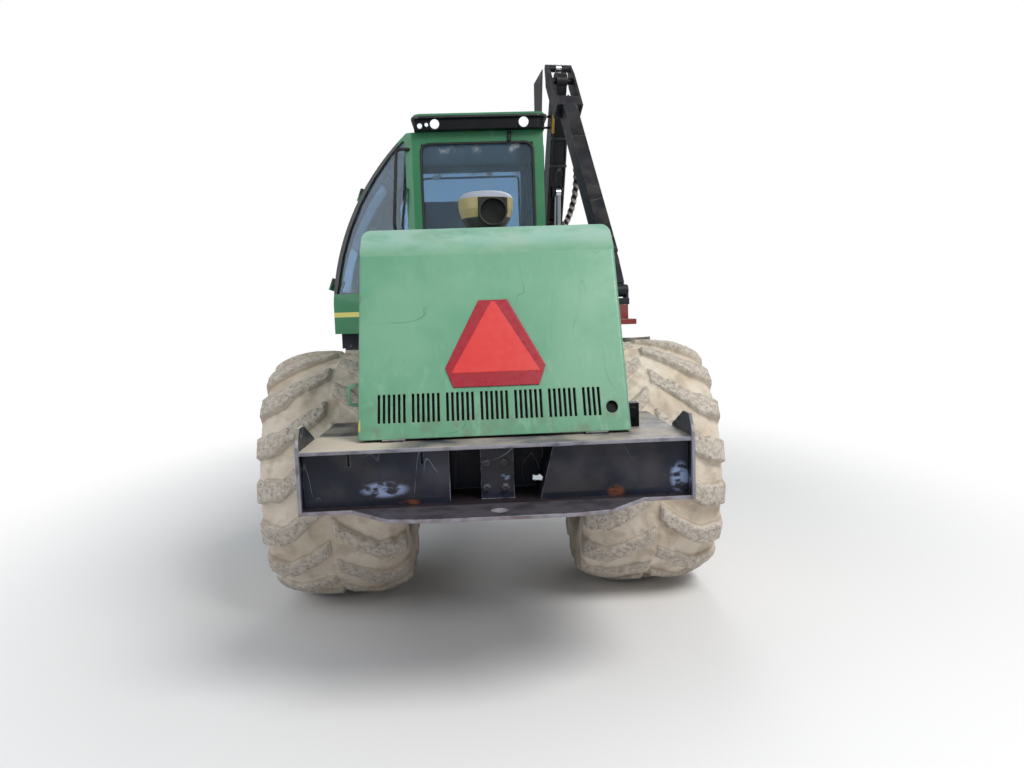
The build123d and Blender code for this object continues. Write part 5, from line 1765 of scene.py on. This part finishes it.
@dataclass
class Upholstery:
    """A seat pad, blown up from its plain solid as cloth round foam.

    Attributes:
        node: The plain solid.
        cap: How far a point may move, in metres.
        shrink: How much smaller it starts.
        cell: Size of the squares that it is made of.
        pressure: How hard it is blown up.
        frames: How long it is blown up.
    """

    node: str
    cap: float = 0.022
    shrink: float = 0.012
    cell: float = 0.012
    pressure: float = 4.0
    frames: int = 20

    def build(self, shop: PaintShop) -> None:
        """Make the pad and let it stand for the plain solid.

        Args:
            shop: Where the materials come from.
        """
        low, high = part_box(self.node)
        made = self.block((low + high) / 2, (high - low) / 2 - Vector((self.shrink,) * 3))
        start = places_of(made.data)
        self.inflate(made)
        moved = places_of(made.data) - start
        reach = np.linalg.norm(moved, axis=1, keepdims=True)
        moved *= np.minimum(1.0, self.cap / np.maximum(reach, 1e-9))
        placed = np.clip(start + moved, np.array(low) + 1e-4, np.array(high) - 1e-4)
        made.data.vertices.foreach_set("co", placed.ravel())
        made.data.update()
        made.data.materials.append(shop.by_slot["seat_fabric"])
        made.data.polygons.foreach_set("use_smooth", [True] * len(made.data.polygons))
        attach(made, "front_frame")
        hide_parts(self.node)
        log.info("made %s with %d faces", made.name, len(made.data.polygons))

    def block(self, centre: Vector, half: Vector) -> bpy.types.Object:
        """Make a block of even squares, which cloth needs.

        Args:
            centre: Its middle.
            half: Half its size each way.

        Returns:
            The block, with its place in its mesh.
        """
        name = "pad_" + self.node
        mesh = bpy.data.meshes.new(name)
        corners = [(x, y, z) for x in (-1, 1) for y in (-1, 1) for z in (-1, 1)]
        faces = [(0, 1, 3, 2), (4, 6, 7, 5), (0, 4, 5, 1), (2, 3, 7, 6), (0, 2, 6, 4), (1, 5, 7, 3)]
        points = [tuple(centre[i] + corner[i] * half[i] for i in range(3)) for corner in corners]
        mesh.from_pydata(points, [], faces)
        made = in_scene(name, mesh)
        remesh = made.modifiers.new("remesh", "REMESH")
        remesh.mode = "VOXEL"
        remesh.voxel_size = self.cell
        self.keep_shown(made)
        return made

    def inflate(self, made: bpy.types.Object) -> None:
        """Blow the pad up as cloth with pressure inside and no weight.

        Args:
            made: The pad.
        """
        cloth = made.modifiers.new("cloth", "CLOTH")
        cloth.settings.use_pressure = True
        cloth.settings.uniform_pressure_force = self.pressure
        cloth.settings.quality = 5
        cloth.settings.effector_weights.gravity = 0.0
        for number in range(1, self.frames + 1):
            bpy.context.scene.frame_set(number)
        self.keep_shown(made)
        bpy.context.scene.frame_set(1)

    def keep_shown(self, made: bpy.types.Object) -> None:
        """Keep the mesh as its modifiers show it, and drop them.

        Args:
            made: The piece.
        """
        shown = bpy.data.meshes.new_from_object(made.evaluated_get(bpy.context.evaluated_depsgraph_get()))
        made.modifiers.clear()
        made.data = shown


@dataclass(frozen=True)
class Lamp:
    """One soft round light.

    Attributes:
        name: Its name.
        place: Where it stands, in metres.
        target: What it shines at.
        size: Its width in metres.
        power: Its power in watts.
        colour: Its colour.
    """

    name: str
    place: tuple
    target: tuple
    size: float
    power: float
    colour: Colour

    def build(self) -> None:
        """Make the light."""
        data = bpy.data.lights.new(self.name, "AREA")
        data.shape = "DISK"
        data.size = self.size
        data.energy = self.power
        data.color = self.colour
        aim = Vector(self.target) - Vector(self.place)
        turn = aim.to_track_quat("-Z", "Y").to_matrix().to_4x4()
        in_scene(self.name, data).matrix_world = Matrix.Translation(self.place) @ turn


@dataclass(frozen=True)
class Studio:
    """The floor, the soft lights and the camera.

    Attributes:
        camera_place: Where the camera stands, in the drawing's millimetres.
        lens: Its focal length in millimetres on a 36 mm sensor.
        turn: How far it looks to the left, in degrees.
        pitch: How far it looks up from straight down.
        roll: How far it leans over.
        lamps: The lights.
        floor_half: Half the floor's width in metres.
        fade: Distances from the machine's middle between which the floor fades to white.
        fade_shape: How much each axis counts for that.
        sky: The colour of the light from all sides.
        sky_strength: How strong that light is.
    """

    camera_place: tuple = (-65.0, -2950.0, 1550.0)
    lens: float = 28.125
    turn: float = -2.5
    pitch: float = 84.5
    roll: float = -1.95
    lamps: tuple = (
        Lamp("key", (3.2, -6.0, 6.5), (0.0, -1.5, 1.2), 3.5, 430.0, (1.0, 0.985, 0.96)),
        Lamp("fill", (-6.5, -4.0, 4.0), (0.0, -0.5, 1.2), 5.0, 120.0, (0.93, 0.97, 1.0)),
        Lamp("back", (2.0, 7.5, 6.5), (0.0, 1.0, 1.5), 5.0, 300.0, (1.0, 1.0, 1.0)),
    )
    floor_half: float = 60.0
    fade: tuple = (1.9, 4.2)
    fade_shape: tuple = (1.0, 0.6, 1.0)
    sky: Colour = (0.93, 0.96, 1.0)
    sky_strength: float = 0.5

    def build(self) -> None:
        """Make the camera, floor, world and lights."""
        self.camera()
        self.floor()
        self.world()
        for lamp in self.lamps:
            lamp.build()
        log.info("made the studio")

    def camera(self) -> None:
        """Make the camera where the photograph was taken from."""
        view = bpy.data.cameras.new("camera")
        view.lens = self.lens
        view.sensor_width = 36.0
        view.clip_end = 200.0
        camera = in_scene("camera", view)
        camera.matrix_world = (
            Matrix.Translation(drawn(*self.camera_place))
            @ Matrix.Rotation(math.radians(self.turn), 4, "Z")
            @ Matrix.Rotation(math.radians(self.pitch), 4, "X")
            @ Matrix.Rotation(math.radians(self.roll), 4, "Z")
        )
        bpy.context.scene.camera = camera
        bpy.context.scene.view_settings.view_transform = "Standard"

    def floor(self) -> None:
        """Make the plain pale floor, which fades to white away from the machine for the camera alone."""
        half = self.floor_half
        corners = [(-half, -half, 0), (half, -half, 0), (half, half, 0), (-half, half, 0)]
        mesh = bpy.data.meshes.new("floor")
        mesh.from_pydata(corners, [], [(0, 1, 2, 3)])
        mesh.materials.append(self.floor_paint())
        floor = in_scene("floor", mesh)
        floor.location.z = -0.001

    def floor_paint(self) -> bpy.types.Material:
        """Make the floor's paint, mixed with a white glow far from the machine.

        Returns:
            The material.
        """
        board = NodeBoard("floor_paint")
        squeezed = board.add("ShaderNodeVectorMath")
        squeezed.operation = "MULTIPLY"
        board.feed(squeezed.inputs[0], board.place)
        squeezed.inputs[1].default_value = self.fade_shape
        far = board.steps(board.length(squeezed.outputs["Vector"]), *self.fade)
        white = board.add("ShaderNodeEmission")
        white.inputs["Color"].default_value = (1.0, 1.0, 1.0, 1.0)
        seen = board.add("ShaderNodeLightPath").outputs["Is Camera Ray"]
        mixed = board.add("ShaderNodeMixShader")
        board.feed(mixed.inputs["Fac"], board.times(far, seen))
        board.feed(mixed.inputs[1], board.shader.outputs["BSDF"])
        board.feed(mixed.inputs[2], white.outputs["Emission"])
        board.feed(board.output.inputs["Surface"], mixed.outputs["Shader"])
        return board.finished((0.78, 0.78, 0.78), 0.9)

    def world(self) -> None:
        """Make the sky: white to the camera and through the panes, and a softer light for all else."""
        world = bpy.data.worlds.new("world")
        bpy.context.scene.world = world
        world.use_nodes = True
        tree = world.node_tree
        tree.nodes.clear()
        output = tree.nodes.new("ShaderNodeOutputWorld")
        light = tree.nodes.new("ShaderNodeBackground")
        light.inputs["Color"].default_value = (*self.sky, 1.0)
        light.inputs["Strength"].default_value = self.sky_strength
        white = tree.nodes.new("ShaderNodeBackground")
        white.inputs["Color"].default_value = (1.0, 1.0, 1.0, 1.0)
        white.inputs["Strength"].default_value = 1.0
        path = tree.nodes.new("ShaderNodeLightPath")
        seen = tree.nodes.new("ShaderNodeMath")
        seen.operation = "ADD"
        seen.use_clamp = True
        tree.links.new(path.outputs["Is Camera Ray"], seen.inputs[0])
        tree.links.new(path.outputs["Is Transmission Ray"], seen.inputs[1])
        mixed = tree.nodes.new("ShaderNodeMixShader")
        tree.links.new(seen.outputs["Value"], mixed.inputs["Fac"])
        tree.links.new(light.outputs["Background"], mixed.inputs[1])
        tree.links.new(white.outputs["Background"], mixed.inputs[2])
        tree.links.new(mixed.outputs["Shader"], output.inputs["Surface"])


def dress(shop: PaintShop) -> None:
    """Give every node of the part the material of its slot.

    Args:
        shop: Where the materials come from.
    """
    slot_of = {entry["node"]: entry["material_slot"] for entry in frame["record"]["subparts"]}
    for name, shown in frame["nodes"].items():
        shown.data.materials.clear()
        shown.data.materials.append(shop.by_slot[slot_of[name]])
        log.info("dressed %s in %s", name, slot_of[name])


def main() -> None:
    """Build everything that the camera sees."""
    logging.basicConfig(level=logging.INFO, format="%(message)s")
    shop = PaintShop()
    Studio().build()
    HoseBundle().build(shop)
    dress(shop)
    for number, place in enumerate(WHEELS):
        Tyre(place, 10 * number + 1).build(shop.by_slot["tyre"])
        WheelBolts().build(place, shop)
    HoodRear().build(shop)
    CabTrim().build(shop)
    BumperTrim().build(shop)
    BoomTrim().build(shop)
    for node in ("seat_cushion", "seat_back"):
        Upholstery(node).build(shop)


if __name__ == "__main__":
    main()
